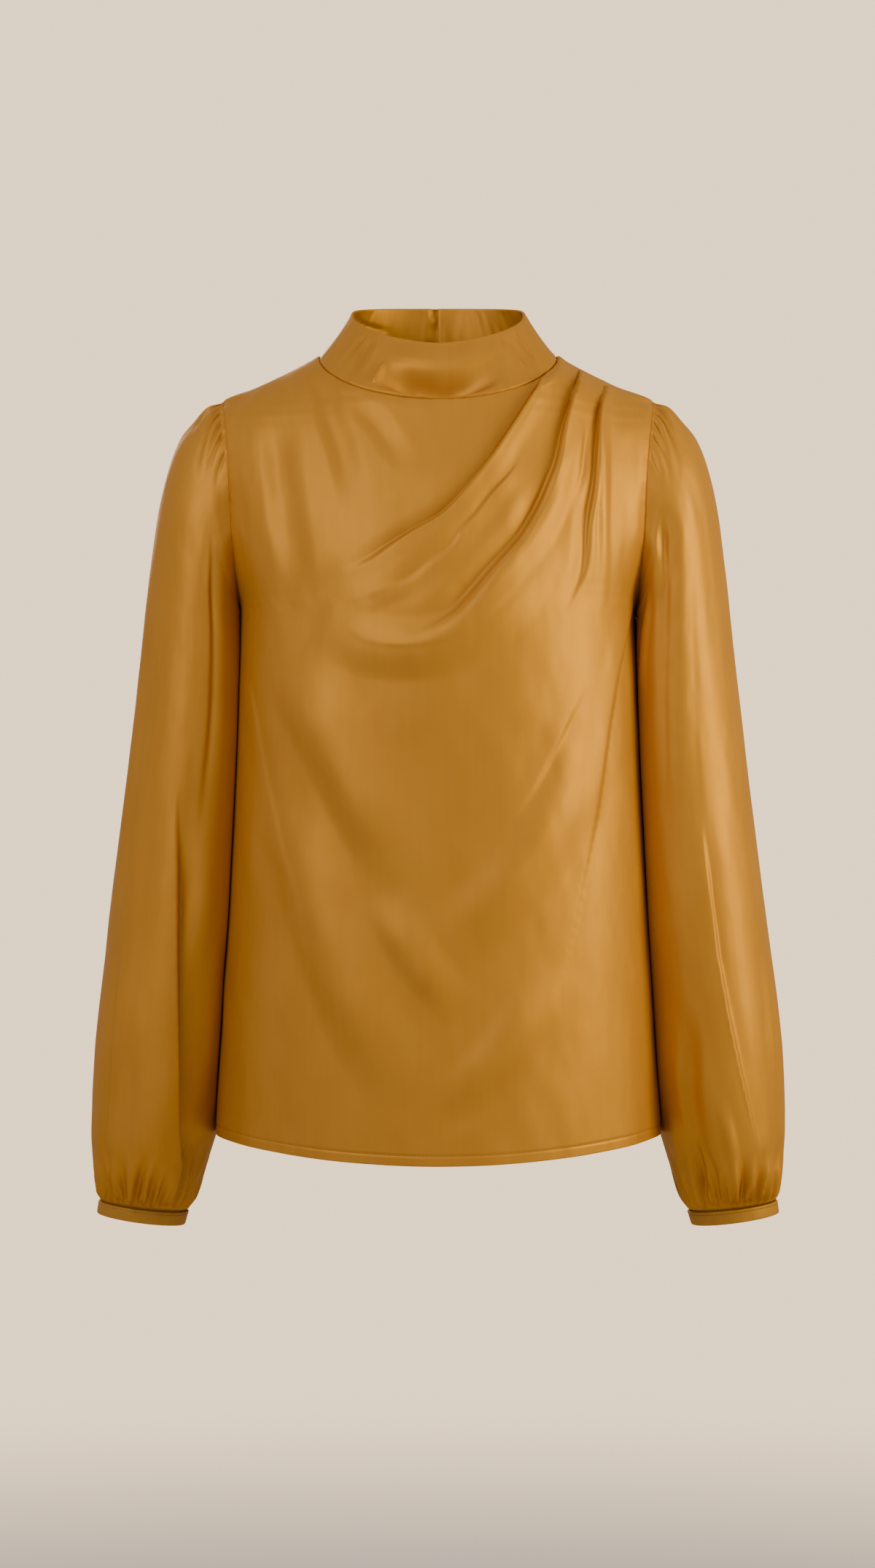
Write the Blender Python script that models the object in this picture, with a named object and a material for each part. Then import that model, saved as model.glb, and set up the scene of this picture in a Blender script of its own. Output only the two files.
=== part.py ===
"""Draped satin blouse: mock neck, three pleats in the left shoulder seam, long gathered sleeves.

Metres, +Z up. The front faces -Y and +X is the wearer's left. The cloth keeps the form of a general
figure that isn't there. The origin is midway between the two high shoulder points, where the
wearer's shoulders carry the garment.
"""

import math
from collections import namedtuple

import bmesh
import bpy
import numpy as np
from mathutils import Vector
from mathutils.geometry import delaunay_2d_cdt

# Driving sizes
CLOTH = 0.0012  # wall of a single panel
BAND = 0.0018  # wall of the neck band and the cuffs, which are two layers
SEAM = 0.0005  # between two edges that are sewn together
SHOULDER_SEAM = 0.0013  # the same where they meet at an angle, along the shoulder
ARMHOLE_SEAM = 0.0009  # between the armhole's edge and the sleeve's, at the top
LEDGE = 0.0017  # between the middles of walls that lie side by side, at the underarm
NECK_HALF_WIDTH = 0.0942  # of the neckline seam, seen from the front
NECK_DROP = 0.0426  # of the neckline seam below the high shoulder points, at centre front
BACK_NECK_DROP = 0.0060
HIGH_POINT = 0.0  # height of the high shoulder points
SHOULDER_TIP = -0.0374  # height of the shoulder seam's outer end
UNDERARM = -0.2050
HEM_SIDE = -0.6125
HEM_DIP = 0.0132  # the hem is this much lower at centre front
HEM_DIP_POWER = 2.2
SLIT_HALF_GAP = 0.0010  # of the back neck opening
SLIT_LENGTH = 0.085
PANEL_STEPS = 12  # columns of a panel each side of its middle
SHOULDER_ROWS, ARMHOLE_ROWS, SIDE_ROWS = 4, 8, 10
PLEAT_PITCH, DRAPE_PITCH, OPEN_PITCH = 0.010, 0.015, 0.021  # between the front's points

# Level sections of the body. The front and back arcs of a level end at edge_x, which is the shoulder
# seam, the armhole or the side seam. front_edge and back_edge say how far they end before or behind
# the side plane. A round of 1 is an ellipse, more is a ridge and less is squarer.
Level = namedtuple(
    "Level", "z edge_x front_edge back_edge front_depth back_depth front_round back_round"
)
LEVELS = (
    Level(0.0020, 0.0880, 0.004, -0.004, 0.056, 0.050, 1.25, 1.25),
    Level(0.0000, 0.0918, 0.004, -0.004, 0.058, 0.052, 1.25, 1.25),
    Level(-0.0125, 0.1140, 0.004, -0.004, 0.064, 0.058, 1.25, 1.25),
    Level(-0.0250, 0.1400, 0.004, -0.004, 0.070, 0.064, 1.22, 1.22),
    Level(-0.0374, 0.1690, 0.004, -0.004, 0.077, 0.071, 1.20, 1.20),
    Level(-0.0450, 0.1680, 0.020, 0.016, 0.081, 0.075, 1.16, 1.16),
    Level(-0.0580, 0.1660, 0.033, 0.030, 0.086, 0.080, 1.10, 1.12),
    Level(-0.0800, 0.1636, 0.044, 0.043, 0.094, 0.087, 1.04, 1.05),
    Level(-0.1100, 0.1614, 0.050, 0.051, 0.104, 0.094, 0.98, 1.00),
    Level(-0.1400, 0.1600, 0.050, 0.052, 0.112, 0.098, 0.94, 0.96),
    Level(-0.1650, 0.1578, 0.043, 0.046, 0.118, 0.099, 0.92, 0.94),
    Level(-0.1850, 0.1563, 0.031, 0.034, 0.121, 0.099, 0.91, 0.92),
    Level(-0.1980, 0.1556, 0.017, 0.018, 0.123, 0.098, 0.91, 0.91),
    Level(-0.2050, 0.1555, 0.000, 0.000, 0.124, 0.098, 0.91, 0.91),
    Level(-0.2700, 0.1582, 0.000, 0.000, 0.125, 0.094, 0.90, 0.90),
    Level(-0.3300, 0.1610, 0.000, 0.000, 0.124, 0.091, 0.90, 0.90),
    Level(-0.4000, 0.1648, 0.000, 0.000, 0.125, 0.095, 0.90, 0.90),
    Level(-0.4900, 0.1688, 0.000, 0.000, 0.128, 0.105, 0.90, 0.90),
    Level(-0.5700, 0.1730, 0.000, 0.000, 0.131, 0.114, 0.90, 0.90),
    Level(-0.6125, 0.1745, 0.000, 0.000, 0.132, 0.118, 0.90, 0.90),
    Level(-0.6400, 0.1750, 0.000, 0.000, 0.133, 0.120, 0.90, 0.90),
)

# Folds of the front, seen from the front. A fold follows its (x, z) points downwards. Its lift is how
# far the cloth stands out (or in, below 0) just left and right of that line, fading over a width.
# The step between both sides takes the edge's width. start and end are the shares of its length
# over which it fades in and out.
Fold = namedtuple("Fold", "points left left_width right right_width edge start end")
PLEATS = (
    Fold(
        ((0.092, -0.004), (0.075, -0.032), (0.056, -0.064), (0.030, -0.100), (-0.002, -0.133), (-0.036, -0.155),
         (-0.078, -0.176)),
        -0.0050, 0.026, 0.0050, 0.034, 0.0055, 0.02, 0.45,
    ),
    Fold(
        ((0.112, -0.014), (0.101, -0.048), (0.092, -0.082), (0.078, -0.118), (0.056, -0.152), (0.026, -0.187),
         (-0.032, -0.222)),
        -0.0060, 0.024, 0.0050, 0.026, 0.0055, 0.02, 0.42,
    ),
    Fold(
        ((0.132, -0.025), (0.127, -0.058), (0.123, -0.105), (0.117, -0.150), (0.098, -0.205)),
        -0.0050, 0.018, 0.0040, 0.014, 0.0055, 0.02, 0.40,
    ),
)
DRAPES = (
    Fold(((0.053, -0.100), (0.028, -0.130), (0.006, -0.158), (-0.030, -0.182), (-0.060, -0.192)),
         -0.0022, 0.014, -0.0022, 0.012, 0.004, 0.35, 0.35),
    Fold(((0.080, -0.150), (0.050, -0.196), (0.005, -0.226), (-0.050, -0.228), (-0.084, -0.204)),
         0.0030, 0.022, 0.0030, 0.026, 0.004, 0.35, 0.35),
    Fold(((0.148, -0.062), (0.146, -0.100), (0.142, -0.135)), -0.0030, 0.010, -0.0030, 0.010, 0.004, 0.4, 0.4),
    Fold(((-0.091, -0.020), (-0.083, -0.052), (-0.074, -0.086), (-0.066, -0.120)),
         -0.0034, 0.014, -0.0034, 0.010, 0.004, 0.25, 0.5),
    Fold(((-0.062, -0.046), (-0.044, -0.070), (-0.022, -0.096)), -0.0028, 0.012, -0.0028, 0.012, 0.004, 0.35, 0.5),
    Fold(((-0.122, -0.056), (-0.122, -0.100), (-0.117, -0.150), (-0.104, -0.210)),
         -0.0040, 0.022, -0.0040, 0.010, 0.004, 0.25, 0.45),
    Fold(((-0.110, -0.235), (-0.090, -0.290), (-0.062, -0.335), (-0.030, -0.370)),
         0.0040, 0.022, 0.0040, 0.020, 0.006, 0.4, 0.4),
    Fold(((-0.105, -0.300), (-0.076, -0.362), (-0.050, -0.415), (-0.030, -0.450), (0.000, -0.440), (0.045, -0.410),
          (0.080, -0.350), (0.110, -0.280)),
         -0.0040, 0.024, -0.0040, 0.024, 0.006, 0.25, 0.35),
    Fold(((-0.125, -0.330), (-0.108, -0.400), (-0.078, -0.480), (-0.040, -0.540), (-0.005, -0.565), (0.030, -0.545),
          (0.060, -0.500)),
         0.0045, 0.030, 0.0045, 0.028, 0.006, 0.3, 0.4),
    Fold(((-0.150, -0.260), (-0.142, -0.340), (-0.120, -0.430), (-0.098, -0.510)),
         0.0022, 0.014, -0.0022, 0.014, 0.006, 0.3, 0.4),
    Fold(((0.146, -0.260), (0.136, -0.340), (0.122, -0.430), (0.098, -0.520)),
         0.0022, 0.016, -0.0022, 0.012, 0.006, 0.3, 0.4),
)
# The back hangs in long soft folds from the shoulder blades.
BACK_DRAPES = (
    Fold(((-0.100, -0.150), (-0.096, -0.300), (-0.100, -0.450), (-0.108, -0.600)),
         0.0045, 0.026, 0.0045, 0.024, 0.006, 0.4, 0.05),
    Fold(((-0.035, -0.220), (-0.030, -0.360), (-0.034, -0.480), (-0.040, -0.610)),
         -0.0040, 0.030, -0.0040, 0.026, 0.006, 0.5, 0.05),
    Fold(((0.040, -0.180), (0.036, -0.320), (0.034, -0.460), (0.038, -0.610)),
         0.0045, 0.030, 0.0045, 0.028, 0.006, 0.4, 0.05),
    Fold(((0.105, -0.160), (0.102, -0.300), (0.106, -0.450), (0.114, -0.600)),
         -0.0040, 0.024, -0.0040, 0.026, 0.006, 0.5, 0.05),
)

# The left sleeve's sections, from the armhole to the cuff seam. The right one mirrors them. Each lies
# between its outer and inner points, seen from the front, and its front and back, seen from the side.
Section = namedtuple("Section", "outer_x outer_z inner_x inner_z front_y back_y")
SLEEVE = (
    Section(0.1700, -0.0378, 0.1572, -0.2050, -0.051, 0.053),
    Section(0.1812, -0.0428, 0.1572, -0.2080, -0.052, 0.056),
    Section(0.1934, -0.0536, 0.1568, -0.2105, -0.053, 0.060),
    Section(0.2030, -0.0650, 0.1560, -0.2135, -0.053, 0.063),
    Section(0.2125, -0.0880, 0.1540, -0.2190, -0.053, 0.067),
    Section(0.2207, -0.1215, 0.1510, -0.2290, -0.052, 0.072),
    Section(0.2268, -0.1643, 0.1480, -0.2450, -0.052, 0.077),
    Section(0.2318, -0.2077, 0.1460, -0.2660, -0.052, 0.081),
    Section(0.2380, -0.2656, 0.1450, -0.3010, -0.053, 0.084),
    Section(0.2486, -0.3525, 0.1470, -0.3650, -0.055, 0.086),
    Section(0.2632, -0.4683, 0.1530, -0.4720, -0.058, 0.087),
    Section(0.2726, -0.5551, 0.1600, -0.5570, -0.060, 0.087),
    Section(0.2744, -0.6100, 0.1740, -0.6120, -0.057, 0.081),
    Section(0.2724, -0.6385, 0.1838, -0.6410, -0.050, 0.070),
    Section(0.2697, -0.6565, 0.1915, -0.6635, -0.036, 0.054),
    Section(0.2672, -0.6660, 0.1980, -0.6745, -0.025, 0.041),
)
CUFF = (
    Section(0.2677, -0.6672, 0.1978, -0.6757, -0.0255, 0.0415),
    Section(0.2686, -0.6757, 0.2014, -0.6853, -0.0240, 0.0400),
)
ARMHOLE_FADE = 0.075  # the sleeve leaves the armhole's own outline over this length
SLEEVE_CLEARANCE = 0.0021  # between the middles of the sleeve and the body's side
CUFF_GATHERS = 28
SLEEVE_COLUMNS = 2 * CUFF_GATHERS  # a ridge and a valley for each gather
HEAD_STATIONS = (0.0, 0.007, 0.017, 0.032, 0.052, 0.078, 0.112)
ARM_STATIONS = (0.160, 0.220, 0.290, 0.370, 0.450, 0.520)
CUFF_STATIONS = (0.565, 0.598, 0.620, 0.632)
GATHER_HEIGHT, GATHER_LENGTH = 0.0022, 0.085
HEAD_GATHERS, HEAD_SPREAD = 8, math.radians(62)  # gathers across the sleeve's top, and their half angle
HEAD_HEIGHT, HEAD_LENGTH = 0.0030, 0.065

# Long folds of a sleeve. angle is 0 at the outer side, 90 at the front and 180 at the inner side, in
# degrees, at the fold's start and end, which are lengths down from the shoulder.
LongFold = namedtuple("LongFold", "start end first_angle last_angle lift width")
RIGHT_SLEEVE_FOLDS = (
    LongFold(0.080, 0.330, 133, 128, 0.0050, 16),
    LongFold(0.100, 0.400, 158, 150, -0.0060, 15),
    LongFold(0.300, 0.640, 118, 112, 0.0055, 18),
    LongFold(0.360, 0.640, 146, 143, -0.0065, 20),
    LongFold(0.250, 0.610, 62, 70, -0.0030, 20),
    LongFold(0.420, 0.640, 32, 38, 0.0035, 16),
    LongFold(0.150, 0.560, 255, 248, -0.0045, 22),
    LongFold(0.200, 0.620, 300, 295, 0.0045, 22),
)
LEFT_SLEEVE_FOLDS = (
    LongFold(0.070, 0.400, 126, 132, 0.0055, 15),
    LongFold(0.090, 0.480, 152, 156, -0.0065, 15),
    LongFold(0.060, 0.360, 92, 96, -0.0025, 14),
    LongFold(0.360, 0.640, 74, 52, 0.0045, 14),
    LongFold(0.420, 0.640, 112, 118, -0.0040, 14),
    LongFold(0.420, 0.640, 22, 18, 0.0035, 12),
    LongFold(0.150, 0.560, 262, 250, -0.0045, 22),
    LongFold(0.200, 0.620, 305, 292, 0.0045, 22),
)

# The neck band's upper edge.
BAND_HALF_WIDTH, BAND_FRONT, BAND_BACK = 0.0672, 0.0545, 0.0515
BAND_FRONT_Z, BAND_SIDE_Z, BAND_BACK_Z = 0.0030, 0.0316, 0.0436
BAND_FRONT_POWER, BAND_BACK_POWER = 0.68, 0.60
BAND_FLARE = 0.0015  # how far the band's side curves in between its edges
BAND_ROWS = (0, 0.22, 0.42, 0.56, 0.72, 1)  # shares of its height, from its upper edge
BAND_COLUMNS = 60
OVERLAP = math.radians(9)  # the band's right end laps outside its left end by this much
OVERLAP_STEP = 0.0026  # between the middles of both ends
OVERLAP_EASE = math.radians(8)  # the right end steps out over this much before centre back
CREASE_X, CREASE_HEIGHT = 0.050, 0.44  # half length of the band's front crease, and its place
CREASE_DEPTH = 0.0060
BUTTON_RADIUS, BUTTON_THICKNESS = 0.0055, 0.0040
BUTTON_HEIGHTS = (0.010, 0.032)
MUSTARD = (0.514, 0.246, 0.034, 1.0)


def curve(knots, values, at):
    """A smooth curve through (knots, values) that never overshoots them, read at the given places."""
    knots, values, at = (np.asarray(a, float) for a in (knots, values, at))
    if knots[0] > knots[-1]:
        knots, values = knots[::-1], values[::-1]
    step = np.diff(knots)
    rise = np.diff(values) / step
    slope = np.zeros(len(knots))
    same = rise[:-1] * rise[1:] > 0
    weight = 3 * (step[:-1] + step[1:])
    first, last = 2 * step[1:] + step[:-1], step[1:] + 2 * step[:-1]
    with np.errstate(divide="ignore", invalid="ignore"):
        slope[1:-1] = np.where(same, weight / (first / rise[:-1] + last / rise[1:]), 0)
    slope[0], slope[-1] = rise[0], rise[-1]
    at = np.clip(at, knots[0], knots[-1])
    i = np.clip(np.searchsorted(knots, at) - 1, 0, len(step) - 1)
    t = (at - knots[i]) / step[i]
    return (
        (2 * t**3 - 3 * t**2 + 1) * values[i]
        + (t**3 - 2 * t**2 + t) * step[i] * slope[i]
        + (3 * t**2 - 2 * t**3) * values[i + 1]
        + (t**3 - t**2) * step[i] * slope[i + 1]
    )


def level(name, z):
    return curve([row.z for row in LEVELS], [getattr(row, name) for row in LEVELS], z)


def smooth_step(t):
    t = np.clip(t, 0, 1)
    return t * t * (3 - 2 * t)


def fall_off(t):
    """1 at 0, and smoothly 0 from 1 on."""
    return np.clip(1 - np.abs(t) ** 2, 0, 1) ** 2


# --- the body's form -----------------------------------------------------------------------------


def edge_angle(side, z):
    """The angle, from the middle, at which a panel's arc ends at this height."""
    share = level(side + "_edge", z) / level(side + "_depth", z)
    power = 1 / level(side + "_round", z)
    return np.arccos(np.sign(share) * np.abs(share) ** power)


def panel_point(side, across, z):
    """A point of the front's or back's form. across is -1 at the right edge and 1 at the left."""
    edge = edge_angle(side, z)
    angle = across * edge
    width = level("edge_x", z) / np.sin(edge)
    cosine = np.cos(angle)
    out = level(side + "_depth", z) * np.sign(cosine) * np.abs(cosine) ** level(side + "_round", z)
    facing = -1 if side == "front" else 1
    return np.stack([width * np.sin(angle), facing * out, z + 0 * out], axis=-1)


def across_of(side, x, z):
    edge = edge_angle(side, z)
    return np.arcsin(np.clip(x / (level("edge_x", z) / np.sin(edge)), -1, 1)) / edge


def neckline_z(side, x):
    drop = NECK_DROP if side == "front" else BACK_NECK_DROP
    return HIGH_POINT - drop * np.sqrt(np.clip(1 - (x / NECK_HALF_WIDTH) ** 2, 0, 1))


def neckline_height(side, across):
    """The height at which a column of the panel meets the neckline."""
    low = np.full_like(across, -NECK_DROP - 0.01)
    high = np.full_like(across, HIGH_POINT)
    for _ in range(40):
        middle = (low + high) / 2
        inside = middle < neckline_z(side, panel_point(side, across, middle)[..., 0])
        low, high = np.where(inside, middle, low), np.where(inside, high, middle)
    return (low + high) / 2


def hem_height(side, across):
    dip = HEM_DIP if side == "front" else HEM_DIP / 2
    return HEM_SIDE - dip * np.clip(np.cos(across * math.pi / 2), 0, 1) ** HEM_DIP_POWER


def edge_heights(side, armhole_rows, side_rows):
    """Heights down a panel's side edge, with its shoulder tip and its underarm among them."""
    corner = neckline_height(side, np.array([1.0]))[0]
    return np.concatenate(
        [
            np.linspace(corner, SHOULDER_TIP, SHOULDER_ROWS, endpoint=False),
            np.linspace(SHOULDER_TIP, UNDERARM, armhole_rows, endpoint=False),
            np.linspace(UNDERARM, HEM_SIDE, side_rows + 1),
        ]
    )


# --- folds ---------------------------------------------------------------------------------------


def smooth_path(points, steps=8):
    """A Catmull-Rom curve through a fold's points."""
    points = np.array(points, float)
    padded = np.vstack([2 * points[0] - points[1], points, 2 * points[-1] - points[-2]])
    parts = []
    for a, b, c, d in zip(padded, padded[1:], padded[2:], padded[3:]):
        t = np.linspace(0, 1, steps, endpoint=False)[:, None]
        parts.append(
            0.5 * (2 * b + (c - a) * t + (2 * a - 5 * b + 4 * c - d) * t**2 + (3 * b - a - 3 * c + d) * t**3)
        )
    return np.vstack([*parts, points[-1:]])


def fold_lift(fold, x, z):
    """How far a fold moves the points (x, z) out of the panel."""
    path = smooth_path(fold.points)
    start, way = path[:-1], np.diff(path, axis=0)
    long = np.linalg.norm(way, axis=1)
    way_x, way_z = way[:, 0], way[:, 1]
    off_x, off_z = x[..., None] - start[:, 0], z[..., None] - start[:, 1]
    share = np.clip((off_x * way_x + off_z * way_z) / long**2, 0, 1)
    apart = np.hypot(off_x - share * way_x, off_z - share * way_z)
    near = apart.argmin(axis=-1)[..., None]
    pick = lambda values: np.take_along_axis(values, near, axis=-1)[..., 0]
    turned = pick(off_z * way_x - off_x * way_z)
    distance = np.where(turned < 0, -1, 1) * pick(apart)
    travelled = (np.concatenate([[0], np.cumsum(long)[:-1]])[near[..., 0]] + pick(share) * long[near[..., 0]])
    travelled = travelled / long.sum()
    fade = smooth_step(travelled / fold.start) * smooth_step((1 - travelled) / fold.end)
    left = fold.left * fall_off(distance / fold.left_width)
    right = fold.right * fall_off(distance / fold.right_width)
    mix = smooth_step(distance / fold.edge + 0.5)
    return fade * (left * (1 - mix) + right * mix)


def raise_folds(side, across, z, folds):
    """A panel's points, moved out by its folds, which die away at the seams."""
    x, width = panel_point(side, across, z)[..., 0], half_width(side, z)
    lift = sum(fold_lift(fold, x, z) for fold in folds)
    from_neck = neckline_z(side, x) - z
    lift = lift * smooth_step((1 - np.abs(across)) * width / 0.018) * smooth_step(from_neck / 0.016)
    # The side edges keep half a seam away from the next piece.
    margin = np.where(z > SHOULDER_TIP - 0.001, SHOULDER_SEAM, SEAM) / 2 / width
    across = np.clip(across, margin - 1, 1 - margin)
    return panel_point(side, across, z) + panel_normal(side, across, z) * lift[..., None]


def half_width(side, z):
    """The length of a panel's arc at this height from its middle to its edge."""
    arc = panel_point(side, np.linspace(0, 1, 25), np.asarray(z)[..., None])
    return np.linalg.norm(np.diff(arc, axis=-2), axis=-1).sum(axis=-1)


def panel_normal(side, across, z):
    """Straight out of a panel's form."""
    beside = panel_point(side, across + 0.01, z) - panel_point(side, across - 0.01, z)
    above = panel_point(side, across, z + 0.001) - panel_point(side, across, z - 0.001)
    normal = np.cross(beside, above) * (1 if side == "front" else -1)
    return normal / np.linalg.norm(normal, axis=-1, keepdims=True)


# --- meshes --------------------------------------------------------------------------------------


def ring_faces(rows, columns, closed, skip=()):
    """The faces between rows of points that are numbered along each row in turn."""
    faces = []
    for row in range(rows - 1):
        for column in range(columns if closed else columns - 1):
            if (row, column) not in skip:
                here, beside = row * columns + column, row * columns + (column + 1) % columns
                faces.append((here, here + columns, beside + columns, beside))
    return faces


def cloth(name, points, faces, thickness):
    """A wall of cloth through the points, half its thickness each side of them."""
    bm = bmesh.new()
    corners = [bm.verts.new(point) for point in points]
    for face in faces:
        bm.faces.new([corners[i] for i in face])
    mesh = bpy.data.meshes.new(name)
    bm.to_mesh(mesh)
    bm.free()
    mesh.shade_smooth()
    obj = bpy.data.objects.new(name, mesh)
    bpy.context.scene.collection.objects.link(obj)
    wall = obj.modifiers.new("wall", "SOLIDIFY")
    wall.thickness = thickness
    wall.offset = 0
    wall.use_quality_normals = True
    mesh.materials.append(satin(name))
    return obj


def satin(name):
    """The mustard satin of one piece."""
    material = bpy.data.materials.new(name + "_satin")
    material.use_nodes = True
    shader = material.node_tree.nodes["Principled BSDF"]
    shader.inputs["Base Color"].default_value = MUSTARD
    shader.inputs["Roughness"].default_value = 0.42
    shader.inputs["Metallic"].default_value = 0.0
    return material


def fold_places(fold, pitch):
    """Lines of places along a fold: where its sides level off, halfway, and its foot and crest."""
    path = smooth_path(fold.points)
    travelled = np.concatenate([[0], np.cumsum(np.linalg.norm(np.diff(path, axis=0), axis=1))])
    stops = np.linspace(0, travelled[-1], max(3, round(travelled[-1] / pitch) + 1))
    line = np.stack([np.interp(stops, travelled, path[:, i]) for i in range(2)], axis=-1)
    way = np.gradient(line, axis=0)
    way /= np.linalg.norm(way, axis=1, keepdims=True)
    to_right = np.stack([-way[:, 1], way[:, 0]], axis=-1)
    if fold.left * fold.right < 0:
        offsets = (-fold.edge / 2, fold.edge / 2, -fold.left_width / 2, fold.right_width / 2,
                   -fold.left_width, fold.right_width)
    else:
        offsets = (0, -0.55 * fold.left_width, 0.55 * fold.right_width)
    return [place_of(*(line + to_right * offset).T) for offset in offsets]


def place_of(x, z):
    """Where the front's point at (x, z) lies when each level is rolled out flat."""
    return np.stack([across_of("front", x, z) * half_width("front", z), z + 0 * x], axis=-1)


def inside(place, loop):
    """Whether a place lies inside a closed outline, and its distance from the outline."""
    start, way = loop, np.roll(loop, -1, axis=0) - loop
    off = place - start
    share = np.clip((off * way).sum(axis=1) / (way**2).sum(axis=1), 0, 1)
    apart = np.linalg.norm(off - share[:, None] * way, axis=1).min()
    crosses = (start[:, 1] > place[1]) != (start[:, 1] + way[:, 1] > place[1])
    with np.errstate(divide="ignore", invalid="ignore"):
        beyond = start[:, 0] + (place[1] - start[:, 1]) / way[:, 1] * way[:, 0] > place[0]
    return (crosses & beyond).sum() % 2 == 1, apart


def front_places():
    """Flat places for the front's points, the pairs of them that edges must join, and its outline."""
    columns, heights = np.linspace(-1, 1, 2 * PANEL_STEPS + 1), edge_heights("front", ARMHOLE_ROWS, SIDE_ROWS)
    neck, hem = neckline_height("front", columns), hem_height("front", columns)
    top = np.stack([columns * half_width("front", neck), neck], axis=-1)
    left = np.stack([half_width("front", heights), heights], axis=-1)
    bottom = np.stack([columns * half_width("front", hem), hem], axis=-1)
    loop = np.concatenate([left[:-1], bottom[:0:-1], (left * (-1, 1))[:0:-1], top[:-1]])
    places = list(loop)
    joins = [(i, (i + 1) % len(loop)) for i in range(len(loop))]

    def add(line, apart, from_edge, joined=False):
        before = None
        for place in line:
            within, margin = inside(place, loop)
            room = np.linalg.norm(np.array(places) - place, axis=1).min()
            if within and margin > from_edge and room > apart:
                places.append(place)
                if joined and before is not None:
                    joins.append((before, len(places) - 1))
                before = len(places) - 1
            else:
                before = None

    for fold in PLEATS:
        foot, crest, *sides = fold_places(fold, PLEAT_PITCH)
        add(foot, 0.0025, 0.005, joined=True)
        add(crest, 0.0025, 0.005, joined=True)
        for line in sides:
            add(line, 0.0050, 0.007)
    for fold in DRAPES:
        for line in fold_places(fold, DRAPE_PITCH):
            add(line, 0.0080, 0.009)
    for row, z in enumerate(np.arange(-OPEN_PITCH / 2, -0.62, -OPEN_PITCH)):
        shift = OPEN_PITCH / 2 * (row % 2)
        line = [np.array((u, z)) for u in np.arange(-0.22 + shift, 0.22, OPEN_PITCH)]
        add(line, 0.75 * OPEN_PITCH, 0.010)
    return np.array(places), joins, loop


def front():
    """The front, paved with triangles whose edges run along its pleats."""
    places, joins, outline = front_places()
    _, _, faces, *_ = delaunay_2d_cdt([Vector(place) for place in places], joins, [], 0, 1e-7, False)
    faces = [face for face in faces if inside(places[list(face)].mean(axis=0), outline)[0]]
    flat, z = places.T
    across = np.clip(flat / half_width("front", z), -1, 1)
    points = raise_folds("front", across, z, PLEATS + DRAPES)
    return cloth("front", points, faces, CLOTH)


def back():
    """The back, open below the neck along a slit that the neck band's overlap closes."""
    columns, heights = np.linspace(1, -1, 2 * PANEL_STEPS + 1), edge_heights("back", ARMHOLE_ROWS, SIDE_ROWS)
    rows = (heights - heights[0]) / (heights[-1] - heights[0])
    slit = SLIT_HALF_GAP / level("edge_x", SHOULDER_TIP)
    columns = np.concatenate([columns[columns > slit], [slit, -slit], columns[columns < -slit]])
    across, share = np.meshgrid(columns, rows)
    top, hem = neckline_height("back", columns), hem_height("back", columns)
    z = top + (hem - top) * share
    points = raise_folds("back", across, z, BACK_DRAPES)
    middle = len(columns) // 2 - 1
    open_rows = np.flatnonzero(z[1:, middle] > z[0, middle] - SLIT_LENGTH)
    faces = ring_faces(len(rows), len(columns), False, skip=[(row, middle) for row in open_rows])
    return cloth("back", points.reshape(-1, 3), faces, CLOTH)


# --- sleeves -------------------------------------------------------------------------------------


def armhole_point(angle):
    """The armhole's outline for the left sleeve: 0 is the shoulder tip and 90 degrees the front."""
    z = SHOULDER_TIP + (UNDERARM - SHOULDER_TIP) * (1 - np.cos(angle)) / 2
    y = np.where(np.sin(angle) >= 0, -level("front_edge", z), level("back_edge", z))
    y = np.where(np.abs(np.sin(angle)) < 1e-9, -0.004 * (np.cos(angle) > 0), y)
    away = ARMHOLE_SEAM + (LEDGE - ARMHOLE_SEAM) * smooth_step((1 - np.cos(angle)) / 2)
    return np.stack([level("edge_x", z) + away, y, z], axis=-1)


def section_point(table, along, angle):
    """A point of a tube: along is the length down its outer side, and angle goes round it."""
    outer = np.array([(row.outer_x, row.outer_z) for row in table])
    lengths = np.concatenate([[0], np.cumsum(np.linalg.norm(np.diff(outer, axis=0), axis=1))])
    read = lambda name: curve(lengths, [getattr(row, name) for row in table], along)
    outer_x, outer_z, inner_x, inner_z = (read(name) for name in Section._fields[:4])
    front_y, back_y = read("front_y"), read("back_y")
    x = (outer_x + inner_x) / 2 + (outer_x - inner_x) / 2 * np.cos(angle)
    z = (outer_z + inner_z) / 2 + (outer_z - inner_z) / 2 * np.cos(angle)
    y = (front_y + back_y) / 2 - (back_y - front_y) / 2 * np.sin(angle)
    return np.stack([x, y, z], axis=-1)


def body_side(y, z):
    """How far out the body's side is at this depth and height, below the underarm."""
    width = np.zeros(np.broadcast(y, z).shape)
    for side, ahead in (("front", y < 0), ("back", y >= 0)):
        share = np.clip(np.abs(y) / level(side + "_depth", z), 0, 1)
        cosine = share ** (1 / level(side + "_round", z))
        width = np.where(ahead, level("edge_x", z) * np.sqrt(1 - cosine**2), width)
    return width


def softly_above(value, floor, blend=0.002):
    """The larger of both, with a rounded change from one to the other."""
    return (value + floor + np.sqrt((value - floor) ** 2 + blend**2)) / 2


def long_fold_lift(folds, along, angle):
    lift = np.zeros(np.broadcast(along, angle).shape)
    for fold in folds:
        share = (along - fold.start) / (fold.end - fold.start)
        centre = np.radians(fold.first_angle + (fold.last_angle - fold.first_angle) * np.clip(share, 0, 1))
        apart = np.abs((angle - centre + math.pi) % (2 * math.pi) - math.pi)
        fade = smooth_step(share / 0.3) * smooth_step((1 - share) / 0.25)
        lift = lift + fold.lift * fade * fall_off(apart / math.radians(1.6 * fold.width))
    return lift


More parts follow.
